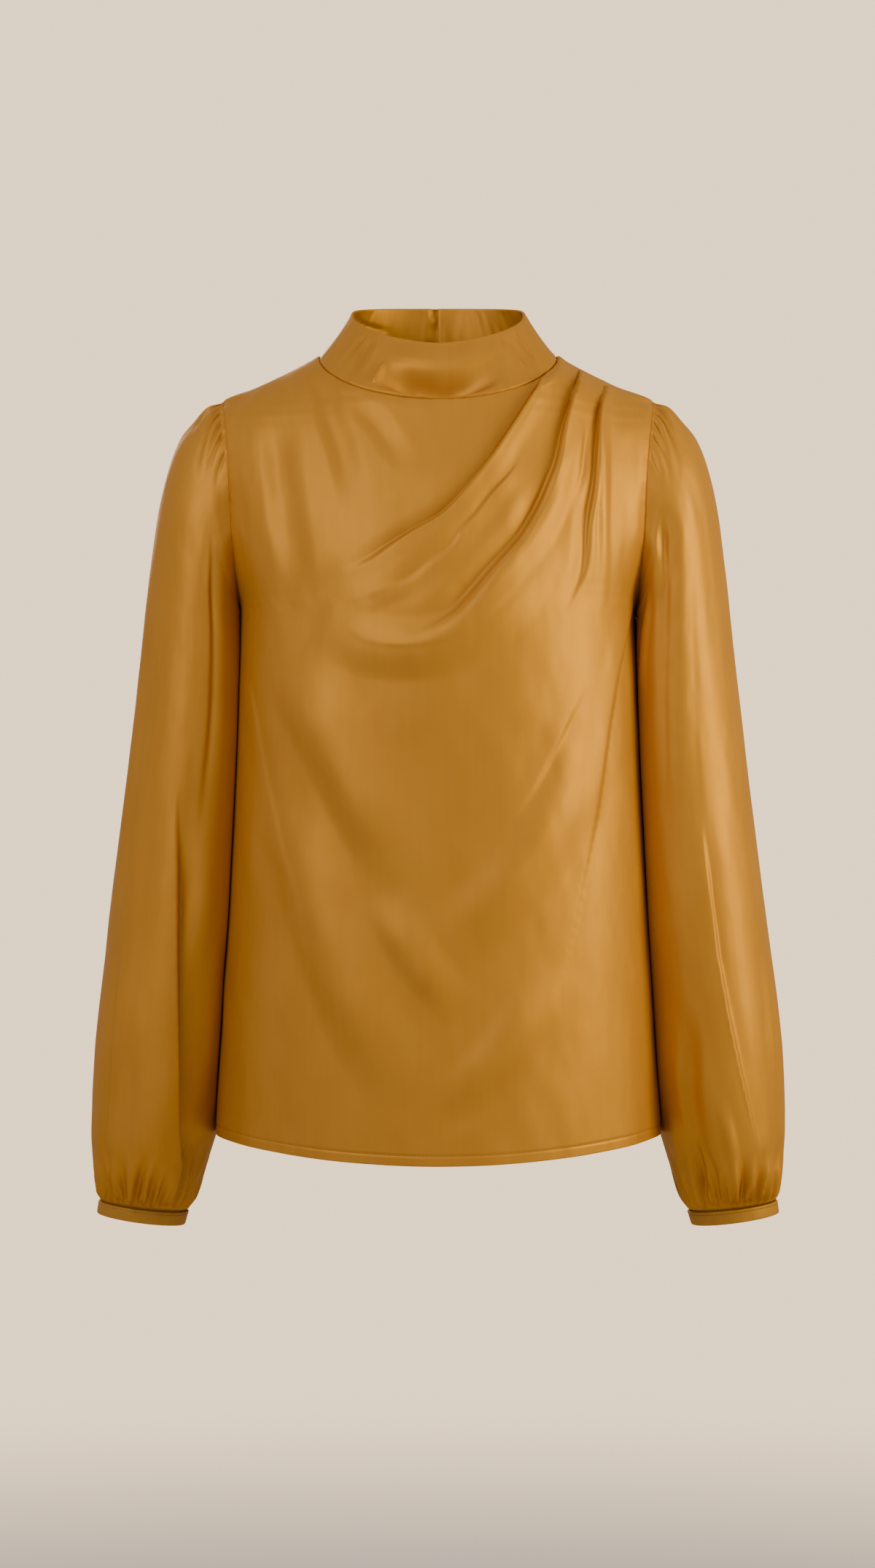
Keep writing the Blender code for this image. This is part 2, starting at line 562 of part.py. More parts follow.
def sleeve_rings(folds):
    """Rings of the left sleeve, from its head to its cuff."""
    outer = np.array([(row.outer_x, row.outer_z) for row in SLEEVE])
    length = np.linalg.norm(np.diff(outer, axis=0), axis=1).sum()
    turn = np.arange(SLEEVE_COLUMNS) / SLEEVE_COLUMNS * 2 * math.pi
    rings, lifts = [], []
    for along in (*HEAD_STATIONS, *ARM_STATIONS, *CUFF_STATIONS, length):
        # Points crowd at the sleeve's top, where its gathers are.
        crowd = 0.42 * (1 - smooth_step(along / 0.20))
        angle = turn - crowd * np.sin(turn)
        ring = section_point(SLEEVE, np.full(len(turn), along), angle)
        start = section_point(SLEEVE, np.zeros(len(turn)), angle)
        rings.append(ring + (armhole_point(angle) - start) * (1 - smooth_step(along / ARMHOLE_FADE)))
        lifts.append(sleeve_lift(folds, along, length, angle))
    rings = np.array(rings)
    rings = rings + sleeve_normals(rings) * np.array(lifts)[..., None]
    return [clear_of_body(ring) for ring in rings]


def sleeve_normals(rings):
    """Unit normals, out of the sleeve, of its rings' points."""
    around = np.roll(rings, -1, axis=1) - np.roll(rings, 1, axis=1)
    normal = np.cross(np.gradient(rings, axis=0), around)
    return normal / np.linalg.norm(normal, axis=-1, keepdims=True)


def sleeve_lift(folds, along, length, angle):
    """How far the long folds and the gathers stand out of a sleeve."""
    lift = long_fold_lift(folds, along, angle)
    above = length - along
    shape = fall_off(np.clip(above - 0.012, 0, None) / GATHER_LENGTH) * (0.45 + 0.55 * smooth_step(above / 0.012))
    lift = lift + GATHER_HEIGHT * shape * np.cos(CUFF_GATHERS * angle)
    signed = (angle + math.pi) % (2 * math.pi) - math.pi
    head = smooth_step(along / 0.010) * fall_off(along / HEAD_LENGTH) * fall_off(signed / HEAD_SPREAD)
    return lift + HEAD_HEIGHT * head * np.cos(HEAD_GATHERS * math.pi * signed / HEAD_SPREAD)


def clear_of_body(ring):
    """Presses a sleeve's ring flat where it would enter the body's side."""
    ring = ring.copy()
    beside = (ring[:, 2] < UNDERARM) & (ring[:, 2] > HEM_SIDE - 0.02)
    wall = body_side(ring[:, 1], ring[:, 2]) + SLEEVE_CLEARANCE
    low = smooth_step((UNDERARM - ring[:, 2]) / 0.003)
    ring[:, 0] = np.where(beside, ring[:, 0] + (softly_above(ring[:, 0], wall) - ring[:, 0]) * low, ring[:, 0])
    return ring


def mirrored(rings):
    """The rings on the other side of the body, turned the same way round."""
    return [np.concatenate([ring[:1], ring[:0:-1]]) * (-1, 1, 1) for ring in rings]


def tube(name, rings, thickness):
    return cloth(name, np.concatenate(rings), ring_faces(len(rings), len(rings[0]), True), thickness)


def sleeve(side):
    if side == "left":
        return tube("sleeve_left", sleeve_rings(LEFT_SLEEVE_FOLDS), CLOTH)
    return tube("sleeve_right", mirrored(sleeve_rings(RIGHT_SLEEVE_FOLDS)), CLOTH)


def cuff(side):
    angle = np.arange(SLEEVE_COLUMNS) / SLEEVE_COLUMNS * 2 * math.pi
    outer = np.array([(row.outer_x, row.outer_z) for row in CUFF])
    lengths = np.concatenate([[0], np.cumsum(np.linalg.norm(np.diff(outer, axis=0), axis=1))])
    rings = [section_point(CUFF, np.full(SLEEVE_COLUMNS, along), angle) for along in lengths]
    drop = np.array([0, 0, SEAM / 2 + 0.0001])
    rings = [ring - drop for ring in rings]
    if side == "right":
        rings = mirrored(rings)
    return tube("cuff_" + side, rings, BAND)


# --- neck band -----------------------------------------------------------------------------------


def band_top(turn):
    """The band's upper edge: turn is 0 at centre front and 180 degrees at centre back."""
    ahead = np.cos(turn)
    depth = np.where(ahead > 0, BAND_FRONT, BAND_BACK)
    front_z = BAND_FRONT_Z + (BAND_SIDE_Z - BAND_FRONT_Z) * np.clip(1 - ahead, 0, 1) ** BAND_FRONT_POWER
    back_z = BAND_SIDE_Z + (BAND_BACK_Z - BAND_SIDE_Z) * np.abs(ahead) ** BAND_BACK_POWER
    z = np.where(ahead > 0, front_z, back_z)
    return np.stack([BAND_HALF_WIDTH * np.sin(turn), -depth * ahead, z], axis=-1)


def neckline_point(turn):
    x = NECK_HALF_WIDTH * 0.984 * np.sin(turn)
    points = np.zeros((len(turn), 3))
    for side, here in (("front", np.cos(turn) >= 0), ("back", np.cos(turn) < 0)):
        z = neckline_z(side, x)
        points = np.where(here[:, None], panel_point(side, across_of(side, x, z), z), points)
    return points


def band_rings():
    """Rings of the neck band, from its upper edge to the neckline. Both ends lap at centre back."""
    turn = np.linspace(-math.pi - OVERLAP, math.pi, BAND_COLUMNS + 1)
    top, seam = band_top(turn), neckline_point(turn)
    way = top - seam
    seam = seam + way / np.linalg.norm(way, axis=1, keepdims=True) * (SEAM + CLOTH / 2)
    outward = np.stack([np.sin(turn), -np.cos(turn), 0 * turn], axis=-1)
    # The right end, past -180 degrees, passes outside the left one.
    lap = smooth_step((-turn - math.pi + OVERLAP_EASE) / OVERLAP_EASE)
    rings = []
    for share in BAND_ROWS:
        ring = top + (seam - top) * share - outward * BAND_FLARE * math.sin(math.pi * share)
        crease = fall_off((share - 1 + CREASE_HEIGHT) / 0.30) * fall_off(ring[:, 0] / CREASE_X) * (ring[:, 1] < 0)
        rings.append(ring + outward * (lap * OVERLAP_STEP - crease * CREASE_DEPTH)[:, None])
    return rings


def neck_band():
    rings = band_rings()
    faces = ring_faces(len(rings), len(rings[0]), False)
    return cloth("neck_band", np.concatenate(rings), faces, BAND)


def button(name, height):
    """A small covered button, domed, on the outside of the band's overlap."""
    wall = np.array([ring[1] for ring in band_rings()])
    at = lambda z: np.array([np.interp(-z, -wall[:, 2], wall[:, i]) for i in range(3)])
    high, low = at(height + BUTTON_RADIUS), at(height - BUTTON_RADIUS)
    seat = (high + low) / 2
    tilt = math.atan2(low[1] - high[1], high[2] - low[2])
    bm = bmesh.new()
    bmesh.ops.create_uvsphere(bm, u_segments=12, v_segments=6, radius=BUTTON_RADIUS)
    bmesh.ops.bisect_plane(
        bm, geom=bm.verts[:] + bm.edges[:] + bm.faces[:], plane_co=(0, 0, 0), plane_no=(0, 0, 1), clear_inner=True
    )
    bmesh.ops.holes_fill(bm, edges=[e for e in bm.edges if e.is_boundary])
    bmesh.ops.scale(bm, vec=(1, 1, BUTTON_THICKNESS / BUTTON_RADIUS), verts=bm.verts)
    bmesh.ops.recalc_face_normals(bm, faces=bm.faces)
    mesh = bpy.data.meshes.new(name)
    bm.to_mesh(mesh)
    bm.free()
    mesh.shade_smooth()
    mesh.set_sharp_from_angle(angle=math.radians(40))
    mesh.materials.append(satin(name))
    obj = bpy.data.objects.new(name, mesh)
    bpy.context.scene.collection.objects.link(obj)
    out = BAND / 2 + 0.0005
    obj.location = (seat[0], seat[1] + out * math.cos(tilt), seat[2] + out * math.sin(tilt))
    obj.rotation_euler = (-math.pi / 2 + tilt, 0, 0)
    return obj


def main():
    for obj in list(bpy.data.objects):
        bpy.data.objects.remove(obj)
    front()
    back()
    neck_band()
    for side in ("left", "right"):
        sleeve(side)
        cuff(side)
    for i, height in enumerate(BUTTON_HEIGHTS, start=1):
        button(f"neck_button_{i}", height)


main()
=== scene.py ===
"""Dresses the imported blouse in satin: fine panels, gathers, seams, covered buttons and stitching.

Metres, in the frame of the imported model: +Z up, the front faces -Y and +X is the wearer's left.
"""

import math
from collections import namedtuple

import bmesh
import bpy
import numpy as np
from mathutils import Matrix, Vector


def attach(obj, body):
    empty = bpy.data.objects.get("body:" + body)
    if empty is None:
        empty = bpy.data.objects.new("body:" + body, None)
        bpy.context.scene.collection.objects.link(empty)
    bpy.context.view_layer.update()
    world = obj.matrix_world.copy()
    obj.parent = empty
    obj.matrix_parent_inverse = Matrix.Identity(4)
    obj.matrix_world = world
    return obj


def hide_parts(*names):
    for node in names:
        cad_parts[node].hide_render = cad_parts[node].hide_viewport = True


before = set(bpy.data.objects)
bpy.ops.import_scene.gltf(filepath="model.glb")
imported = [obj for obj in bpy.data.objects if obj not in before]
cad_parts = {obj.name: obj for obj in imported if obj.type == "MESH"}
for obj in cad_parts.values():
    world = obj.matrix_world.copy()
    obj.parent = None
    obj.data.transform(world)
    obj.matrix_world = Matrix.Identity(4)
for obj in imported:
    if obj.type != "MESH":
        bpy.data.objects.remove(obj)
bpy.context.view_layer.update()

bl_info = {
    "name": "Draped Satin Blouse",
    "version": (1, 0, 0),
    "blender": (4, 5, 0),
    "location": "View3D > Sidebar > Blouse",
    "description": "Sews the satin pieces of a draped blouse around its packed frame",
    "category": "Add Mesh",
}

# --- the pattern, as the frame has it --------------------------------------------------------------

NECK_HALF_WIDTH, NECK_DROP, BACK_NECK_DROP, HIGH_POINT = 0.0942, 0.0426, 0.0060, 0.0
SHOULDER_TIP, UNDERARM, HEM_SIDE, HEM_DIP, HEM_DIP_POWER = -0.0374, -0.2050, -0.6125, 0.0132, 2.2
SLIT_LENGTH = 0.085

Level = namedtuple(
    "Level", "z edge_x front_edge back_edge front_depth back_depth front_round back_round"
)
LEVELS = (
    Level(0.0020, 0.0880, 0.004, -0.004, 0.056, 0.050, 1.25, 1.25),
    Level(0.0000, 0.0918, 0.004, -0.004, 0.058, 0.052, 1.25, 1.25),
    Level(-0.0125, 0.1140, 0.004, -0.004, 0.064, 0.058, 1.25, 1.25),
    Level(-0.0250, 0.1400, 0.004, -0.004, 0.070, 0.064, 1.22, 1.22),
    Level(-0.0374, 0.1690, 0.004, -0.004, 0.077, 0.071, 1.20, 1.20),
    Level(-0.0450, 0.1680, 0.020, 0.016, 0.081, 0.075, 1.16, 1.16),
    Level(-0.0580, 0.1660, 0.033, 0.030, 0.086, 0.080, 1.10, 1.12),
    Level(-0.0800, 0.1636, 0.044, 0.043, 0.094, 0.087, 1.04, 1.05),
    Level(-0.1100, 0.1614, 0.050, 0.051, 0.104, 0.094, 0.98, 1.00),
    Level(-0.1400, 0.1600, 0.050, 0.052, 0.112, 0.098, 0.94, 0.96),
    Level(-0.1650, 0.1578, 0.043, 0.046, 0.118, 0.099, 0.92, 0.94),
    Level(-0.1850, 0.1563, 0.031, 0.034, 0.121, 0.099, 0.91, 0.92),
    Level(-0.1980, 0.1556, 0.017, 0.018, 0.123, 0.098, 0.91, 0.91),
    Level(-0.2050, 0.1555, 0.000, 0.000, 0.124, 0.098, 0.91, 0.91),
    Level(-0.2700, 0.1582, 0.000, 0.000, 0.125, 0.094, 0.90, 0.90),
    Level(-0.3300, 0.1610, 0.000, 0.000, 0.124, 0.091, 0.90, 0.90),
    Level(-0.4000, 0.1648, 0.000, 0.000, 0.125, 0.095, 0.90, 0.90),
    Level(-0.4900, 0.1688, 0.000, 0.000, 0.128, 0.105, 0.90, 0.90),
    Level(-0.5700, 0.1730, 0.000, 0.000, 0.131, 0.114, 0.90, 0.90),
    Level(-0.6125, 0.1745, 0.000, 0.000, 0.132, 0.118, 0.90, 0.90),
    Level(-0.6400, 0.1750, 0.000, 0.000, 0.133, 0.120, 0.90, 0.90),
)

# The left sleeve's sections from the armhole down: outer and inner points from the front, front and
# back from the side. The right sleeve mirrors them.
Section = namedtuple("Section", "outer_x outer_z inner_x inner_z front_y back_y")
SLEEVE = (
    Section(0.1700, -0.0378, 0.1560, -0.2050, -0.051, 0.053),
    Section(0.1812, -0.0428, 0.1552, -0.2080, -0.052, 0.056),
    Section(0.1934, -0.0536, 0.1546, -0.2105, -0.053, 0.060),
    Section(0.2030, -0.0650, 0.1540, -0.2135, -0.053, 0.063),
    Section(0.2125, -0.0880, 0.1528, -0.2190, -0.053, 0.067),
    Section(0.2207, -0.1215, 0.1510, -0.2290, -0.052, 0.072),
    Section(0.2268, -0.1643, 0.1480, -0.2450, -0.052, 0.077),
    Section(0.2318, -0.2077, 0.1460, -0.2660, -0.052, 0.081),
    Section(0.2380, -0.2656, 0.1450, -0.3010, -0.053, 0.084),
    Section(0.2486, -0.3525, 0.1470, -0.3650, -0.055, 0.086),
    Section(0.2632, -0.4683, 0.1530, -0.4720, -0.058, 0.087),
    Section(0.2726, -0.5551, 0.1600, -0.5570, -0.060, 0.087),
    Section(0.2744, -0.6100, 0.1740, -0.6120, -0.057, 0.081),
    Section(0.2724, -0.6385, 0.1838, -0.6410, -0.050, 0.070),
    Section(0.2697, -0.6565, 0.1915, -0.6635, -0.036, 0.054),
    Section(0.2672, -0.6660, 0.1980, -0.6745, -0.025, 0.041),
)
CUFF = (
    Section(0.2674, -0.6665, 0.1979, -0.6750, -0.0253, 0.0413),
    Section(0.2686, -0.6764, 0.2014, -0.6860, -0.0240, 0.0400),
)
ARMHOLE_FADE = 0.075  # length over which the sleeve leaves the armhole's outline for its sections
SLEEVE_CLEARANCE = 0.0007
SLEEVE_ROLL, CUFF_ROLL, BAND_ROLL = 0.060, 0.035, 0.078  # metres that a radian round them lays out flat
CUFF_STITCH = 0.0022  # edge stitching below the cuff's seam

BAND_HALF_WIDTH, BAND_FRONT, BAND_BACK = 0.0672, 0.0545, 0.0515
BAND_FRONT_Z, BAND_SIDE_Z, BAND_BACK_Z = 0.0030, 0.0316, 0.0436
BAND_FRONT_POWER, BAND_BACK_POWER = 0.84, 0.60
BAND_FLARE = 0.0015
OVERLAP, OVERLAP_EASE, OVERLAP_STEP = math.radians(9), math.radians(8), 0.0026
BUTTON_RADIUS, BUTTON_THICKNESS, BUTTON_HEIGHTS = 0.0055, 0.0040, (0.010, 0.032)
PANEL_SPAN, PANEL_HALF_WIDTH = 0.62, 0.19  # rough size of a panel, by which its rows and columns are spaced
NECKLINE_EASE = 0.984  # the band's seam stays this share of the neck's half width
SLIT_ROLL, SLIT_GAP = 0.0014, 0.0012  # how deep its edges roll in, and its half gap as a share of the panel
STITCH_REACH, STITCH_LIFT = 0.992, 0.00008  # share of the hem that is topstitched, and height above the cloth
# A button's rings up from its edge: share of its radius, height.
BUTTON_DOME = (
    (1.0, 0.0006), (1.03, 0.0012), (1.0, 0.0020), (0.92, 0.0027),
    (0.78, 0.0033), (0.58, 0.0037), (0.34, 0.0039), (0.12, 0.0040),
)

# --- folds ---------------------------------------------------------------------------------------

# A fold follows its points downwards. On a panel they are (x, z), and on a sleeve (angle in degrees
# from its outer side, length down from the armhole). Its lift is how far the cloth stands out just
# left and right of the line, fading over a width. The step between both takes the edge's width, at
# its top and its foot. start and end are the shares of its length over which it rises and dies.
# crisp is 0 for a round crest and 1 for a pressed one, and roll is how far the right side's crest
# leans over to the left. Left and right are the picture's for a path that runs down. On a sleeve,
# left is towards its outer side. On a path that runs to +X, left is below it and right above.
Fold = namedtuple(
    "Fold", "points left left_width right right_width edge start end crisp roll", defaults=(0, 0)
)

# The paths of the front, from the shoulder down: the three pleats, the crease that crosses the chest
# below the first, and the two fine lines on the wearer's left and right.
FIRST_PLEAT = (
    (0.0935, -0.0035), (0.0742, -0.0376), (0.0526, -0.0728), (0.0402, -0.0918), (0.0275, -0.1081),
    (0.0139, -0.1245), (0.0010, -0.1359), (-0.0170, -0.1460), (-0.0354, -0.1573), (-0.0529, -0.1686),
    (-0.0754, -0.1787),
)
SECOND_PLEAT = (
    (0.1115, -0.0149), (0.1038, -0.0413), (0.0977, -0.0615), (0.0919, -0.0892), (0.0871, -0.1044),
    (0.0780, -0.1271), (0.0649, -0.1497), (0.0544, -0.1623), (0.0398, -0.1787), (0.0266, -0.1939),
    (0.0134, -0.2077), (0.0000, -0.2165), (-0.0196, -0.2266), (-0.0329, -0.2304),
)
THIRD_PLEAT = (
    (0.1312, -0.0275), (0.1254, -0.0502), (0.1231, -0.0741), (0.1213, -0.0968), (0.1197, -0.1144),
    (0.1157, -0.1397), (0.1128, -0.1724), (0.1057, -0.1913), (0.0972, -0.2077),
)
CHEST_CREASE = (
    (0.0621, -0.0905), (0.0525, -0.1044), (0.0394, -0.1195), (0.0288, -0.1334), (0.0200, -0.1434),
    (0.0102, -0.1586), (-0.0062, -0.1712), (-0.0225, -0.1838), (-0.0467, -0.1913), (-0.0560, -0.1951),
)
LEFT_FINE_LINE = (
    (0.1553, -0.1901), (0.1478, -0.2203), (0.1401, -0.2506), (0.1357, -0.2733), (0.1283, -0.3187),
    (0.1213, -0.3628), (0.1121, -0.4069), (0.1034, -0.4510), (0.0906, -0.4951), (0.0790, -0.5392),
)
RIGHT_FINE_LINE = (
    (-0.1467, -0.2531), (-0.1404, -0.2846), (-0.1324, -0.3300), (-0.1252, -0.3577), (-0.1178, -0.3855),
    (-0.1066, -0.4182), (-0.0995, -0.4624), (-0.0917, -0.4951), (-0.0811, -0.5279),
)

# Folds of the front that are stitched into the shoulder seam, so they run right up to it.
STITCHED = (
    Fold(FIRST_PLEAT, 0.0, 0.008, 0.0020, 0.016, (0.0011, 0.0011), 0.0, 0.70, 0.6, 0.0009),
    Fold(SECOND_PLEAT, 0.0, 0.008, 0.0020, 0.014, (0.0011, 0.0011), 0.0, 0.70, 0.6, 0.0009),
    Fold(THIRD_PLEAT, 0.0, 0.006, 0.0020, 0.010, (0.0011, 0.0011), 0.0, 0.60, 0.6, 0.0009),
    Fold(FIRST_PLEAT[:6], -0.0014, 0.0022, -0.0010, 0.0012, (0.0010, 0.0010), 0.0, 0.40),
    Fold(SECOND_PLEAT[:6], -0.0014, 0.0022, -0.0010, 0.0012, (0.0010, 0.0010), 0.0, 0.40),
    Fold(THIRD_PLEAT[:6], -0.0014, 0.0022, -0.0010, 0.0012, (0.0010, 0.0010), 0.0, 0.40),
)
PLEATS = (
    Fold(FIRST_PLEAT, -0.0006, 0.007, 0.0060, 0.034, (0.0013, 0.0080), 0.10, 0.26, 0.75, 0.0014),
    Fold(FIRST_PLEAT[4:], -0.0022, 0.014, -0.0012, 0.010, (0.0060, 0.0060), 0.3, 0.4),
    Fold(SECOND_PLEAT, -0.0010, 0.008, 0.0068, 0.024, (0.0013, 0.0190), 0.10, 0.34, 0.75, 0.0016),
    Fold(SECOND_PLEAT[3:], -0.0044, 0.022, -0.0022, 0.010, (0.0090, 0.0090), 0.25, 0.35),
    Fold(THIRD_PLEAT, -0.0008, 0.007, 0.0052, 0.014, (0.0014, 0.0130), 0.14, 0.62, 0.80, 0.0014),
    Fold(THIRD_PLEAT[3:], -0.0026, 0.014, -0.0006, 0.006, (0.0050, 0.0050), 0.3, 0.4),
    Fold(CHEST_CREASE, -0.0006, 0.008, 0.0020, 0.014, (0.0013, 0.0090), 0.16, 0.55, 0.6, 0.0006),
    Fold(CHEST_CREASE[3:], -0.0022, 0.016, -0.0010, 0.010, (0.0060, 0.0060), 0.4, 0.4),
)
DRAPES = (
    # crests beside the pleats
    Fold(((0.1080, -0.0560), (0.1049, -0.0741), (0.0948, -0.1069), (0.0878, -0.1321),
          (0.0731, -0.1598), (0.0546, -0.1750)),
         0.0016, 0.008, 0.0018, 0.010, (0.003, 0.003), 0.3, 0.5),
    Fold(((0.1290, -0.0560), (0.1279, -0.0716), (0.1276, -0.1056), (0.1266, -0.1397),
          (0.1266, -0.1787), (0.1238, -0.2178)),
         0.0024, 0.005, 0.0024, 0.006, (0.002, 0.002), 0.25, 0.6),
    Fold(((0.1500, -0.0514), (0.1483, -0.0703), (0.1475, -0.0993), (0.1452, -0.1271), (0.1400, -0.1560)),
         -0.0014, 0.016, -0.0014, 0.012, (0.004, 0.004), 0.35, 0.5),
    Fold(((0.1135, -0.0500), (0.1110, -0.0760), (0.1080, -0.1020), (0.1010, -0.1300)),
         0.0010, 0.006, -0.0012, 0.006, (0.003, 0.003), 0.4, 0.5),
    # the bib that hangs from the pleats across the chest
    Fold(((0.0800, -0.1560), (0.0500, -0.2000), (0.0050, -0.2300), (-0.0500, -0.2320),
          (-0.0840, -0.2080)),
         0.0052, 0.024, 0.0046, 0.028, (0.005, 0.005), 0.35, 0.35),
    Fold(((0.0300, -0.1400), (-0.0100, -0.1720), (-0.0500, -0.1960), (-0.0800, -0.2020)),
         0.0022, 0.018, 0.0016, 0.014, (0.004, 0.004), 0.35, 0.4),
    Fold(((0.0560, -0.0480), (0.0300, -0.0860), (0.0020, -0.1120), (-0.0300, -0.1300)),
         0.0014, 0.026, 0.0014, 0.026, (0.004, 0.004), 0.4, 0.4),
    # the right chest
    Fold(((-0.0960, -0.0120), (-0.0929, -0.0200), (-0.0861, -0.0514), (-0.0753, -0.0842),
          (-0.0685, -0.1132), (-0.0640, -0.1400)),
         -0.0040, 0.012, -0.0040, 0.018, (0.004, 0.004), 0.22, 0.5),
    Fold(((-0.0650, -0.0440), (-0.0476, -0.0640), (-0.0336, -0.0855), (-0.0200, -0.1010)),
         -0.0028, 0.010, -0.0028, 0.016, (0.004, 0.004), 0.3, 0.5),
    Fold(((-0.1260, -0.0420), (-0.1241, -0.0880), (-0.1186, -0.1308), (-0.1130, -0.1686),
          (-0.1117, -0.1964), (-0.1080, -0.2300)),
         -0.0040, 0.014, -0.0040, 0.022, (0.005, 0.005), 0.25, 0.45),
    # swags of the lower front
    Fold(((-0.1180, -0.2300), (-0.1040, -0.2680), (-0.0720, -0.3300), (-0.0400, -0.3880),
          (-0.0180, -0.4180)),
         0.0066, 0.026, 0.0066, 0.040, (0.005, 0.005), 0.35, 0.40),
    Fold(((0.1250, -0.2860), (0.0930, -0.3560), (0.0520, -0.4180), (0.0100, -0.4520), (-0.0200, -0.4560)),
         0.0052, 0.030, 0.0048, 0.034, (0.005, 0.005), 0.35, 0.40),
    Fold(((-0.0480, -0.4180), (-0.0280, -0.4540), (0.0020, -0.4960), (0.0240, -0.5120)),
         0.0034, 0.018, 0.0034, 0.024, (0.004, 0.004), 0.4, 0.4),
    Fold(((-0.1240, -0.3440), (-0.1080, -0.3880), (-0.0880, -0.4480), (-0.0630, -0.5120),
          (-0.0380, -0.5560), (-0.0180, -0.5800)),
         0.0060, 0.028, 0.0060, 0.038, (0.006, 0.006), 0.30, 0.35),
    Fold(((0.0860, -0.4700), (0.0600, -0.5200), (0.0280, -0.5620), (-0.0040, -0.5820)),
         0.0044, 0.024, 0.0044, 0.030, (0.005, 0.005), 0.4, 0.4),
    Fold(((0.0700, -0.5360), (0.0320, -0.5800), (-0.0100, -0.5980)),
         -0.0014, 0.018, -0.0014, 0.014, (0.005, 0.005), 0.4, 0.4),
    Fold(((-0.0720, -0.1620), (-0.0940, -0.2060), (-0.1080, -0.2500)),
         -0.0020, 0.018, -0.0020, 0.016, (0.005, 0.005), 0.4, 0.4),
    Fold(RIGHT_FINE_LINE, 0.0005, 0.014, -0.0003, 0.014, (0.0016, 0.0020), 0.08, 0.60),
    Fold(LEFT_FINE_LINE, 0.0010, 0.016, -0.0007, 0.012, (0.0013, 0.0018), 0.04, 0.60),
    Fold(LEFT_FINE_LINE[:8], -0.0007, 0.0020, -0.0007, 0.0020, (0.0010, 0.0010), 0.06, 0.75),
    Fold(((0.1165, -0.2569), (0.0766, -0.3350), (0.0540, -0.3678), (0.0321, -0.3905)),
         0.0010, 0.016, -0.0008, 0.014, (0.0022, 0.0022), 0.3, 0.5),
)
BACK_DRAPES = (
    Fold(((-0.1000, -0.1500), (-0.0960, -0.3000), (-0.1000, -0.4500), (-0.1080, -0.6000)),
         0.0045, 0.026, 0.0045, 0.022, (0.005, 0.005), 0.4, 0.05),
    Fold(((-0.0700, -0.2600), (-0.0680, -0.4000), (-0.0740, -0.6000)),
         -0.0026, 0.014, -0.0030, 0.012, (0.004, 0.004), 0.5, 0.05),
    Fold(((-0.0350, -0.2200), (-0.0300, -0.3600), (-0.0340, -0.4800), (-0.0400, -0.6100)),
         -0.0040, 0.026, -0.0040, 0.022, (0.005, 0.005), 0.5, 0.05),
    Fold(((0.0040, -0.3000), (0.0020, -0.4400), (0.0060, -0.6100)),
         0.0020, 0.016, 0.0020, 0.014, (0.004, 0.004), 0.5, 0.05),
    Fold(((0.0400, -0.1800), (0.0360, -0.3200), (0.0340, -0.4600), (0.0380, -0.6100)),
         0.0045, 0.028, 0.0045, 0.022, (0.005, 0.005), 0.4, 0.05),
    Fold(((0.0720, -0.2400), (0.0700, -0.4100), (0.0760, -0.6100)),
         -0.0022, 0.012, -0.0030, 0.014, (0.004, 0.004), 0.5, 0.05),
    Fold(((0.1050, -0.1600), (0.1020, -0.3000), (0.1060, -0.4500), (0.1140, -0.6000)),
         -0.0040, 0.022, -0.0040, 0.024, (0.005, 0.005), 0.5, 0.05),
    Fold(((-0.0860, -0.0200), (-0.0940, -0.0600), (-0.0900, -0.1100)),
         -0.0022, 0.014, -0.0022, 0.010, (0.004, 0.004), 0.3, 0.5),
    Fold(((0.0880, -0.0220), (0.0980, -0.0640), (0.0960, -0.1160)),
         -0.0024, 0.012, -0.0022, 0.012, (0.004, 0.004), 0.3, 0.5),
    Fold(((-0.0060, -0.1000), (-0.0200, -0.1500), (-0.0500, -0.2050)),
         0.0014, 0.012, -0.0016, 0.012, (0.004, 0.004), 0.3, 0.5),
    Fold(((0.0070, -0.1020), (0.0240, -0.1560), (0.0480, -0.1980)),
         -0.0016, 0.012, 0.0014, 0.012, (0.004, 0.004), 0.3, 0.5),
    Fold(((-0.1460, -0.1900), (-0.1240, -0.2500), (-0.1000, -0.3000)),
         -0.0020, 0.010, -0.0016, 0.012, (0.004, 0.004), 0.3, 0.5),
    Fold(((0.1480, -0.1900), (0.1260, -0.2540), (0.1080, -0.3200)),
         -0.0016, 0.012, -0.0020, 0.010, (0.004, 0.004), 0.3, 0.5),
)

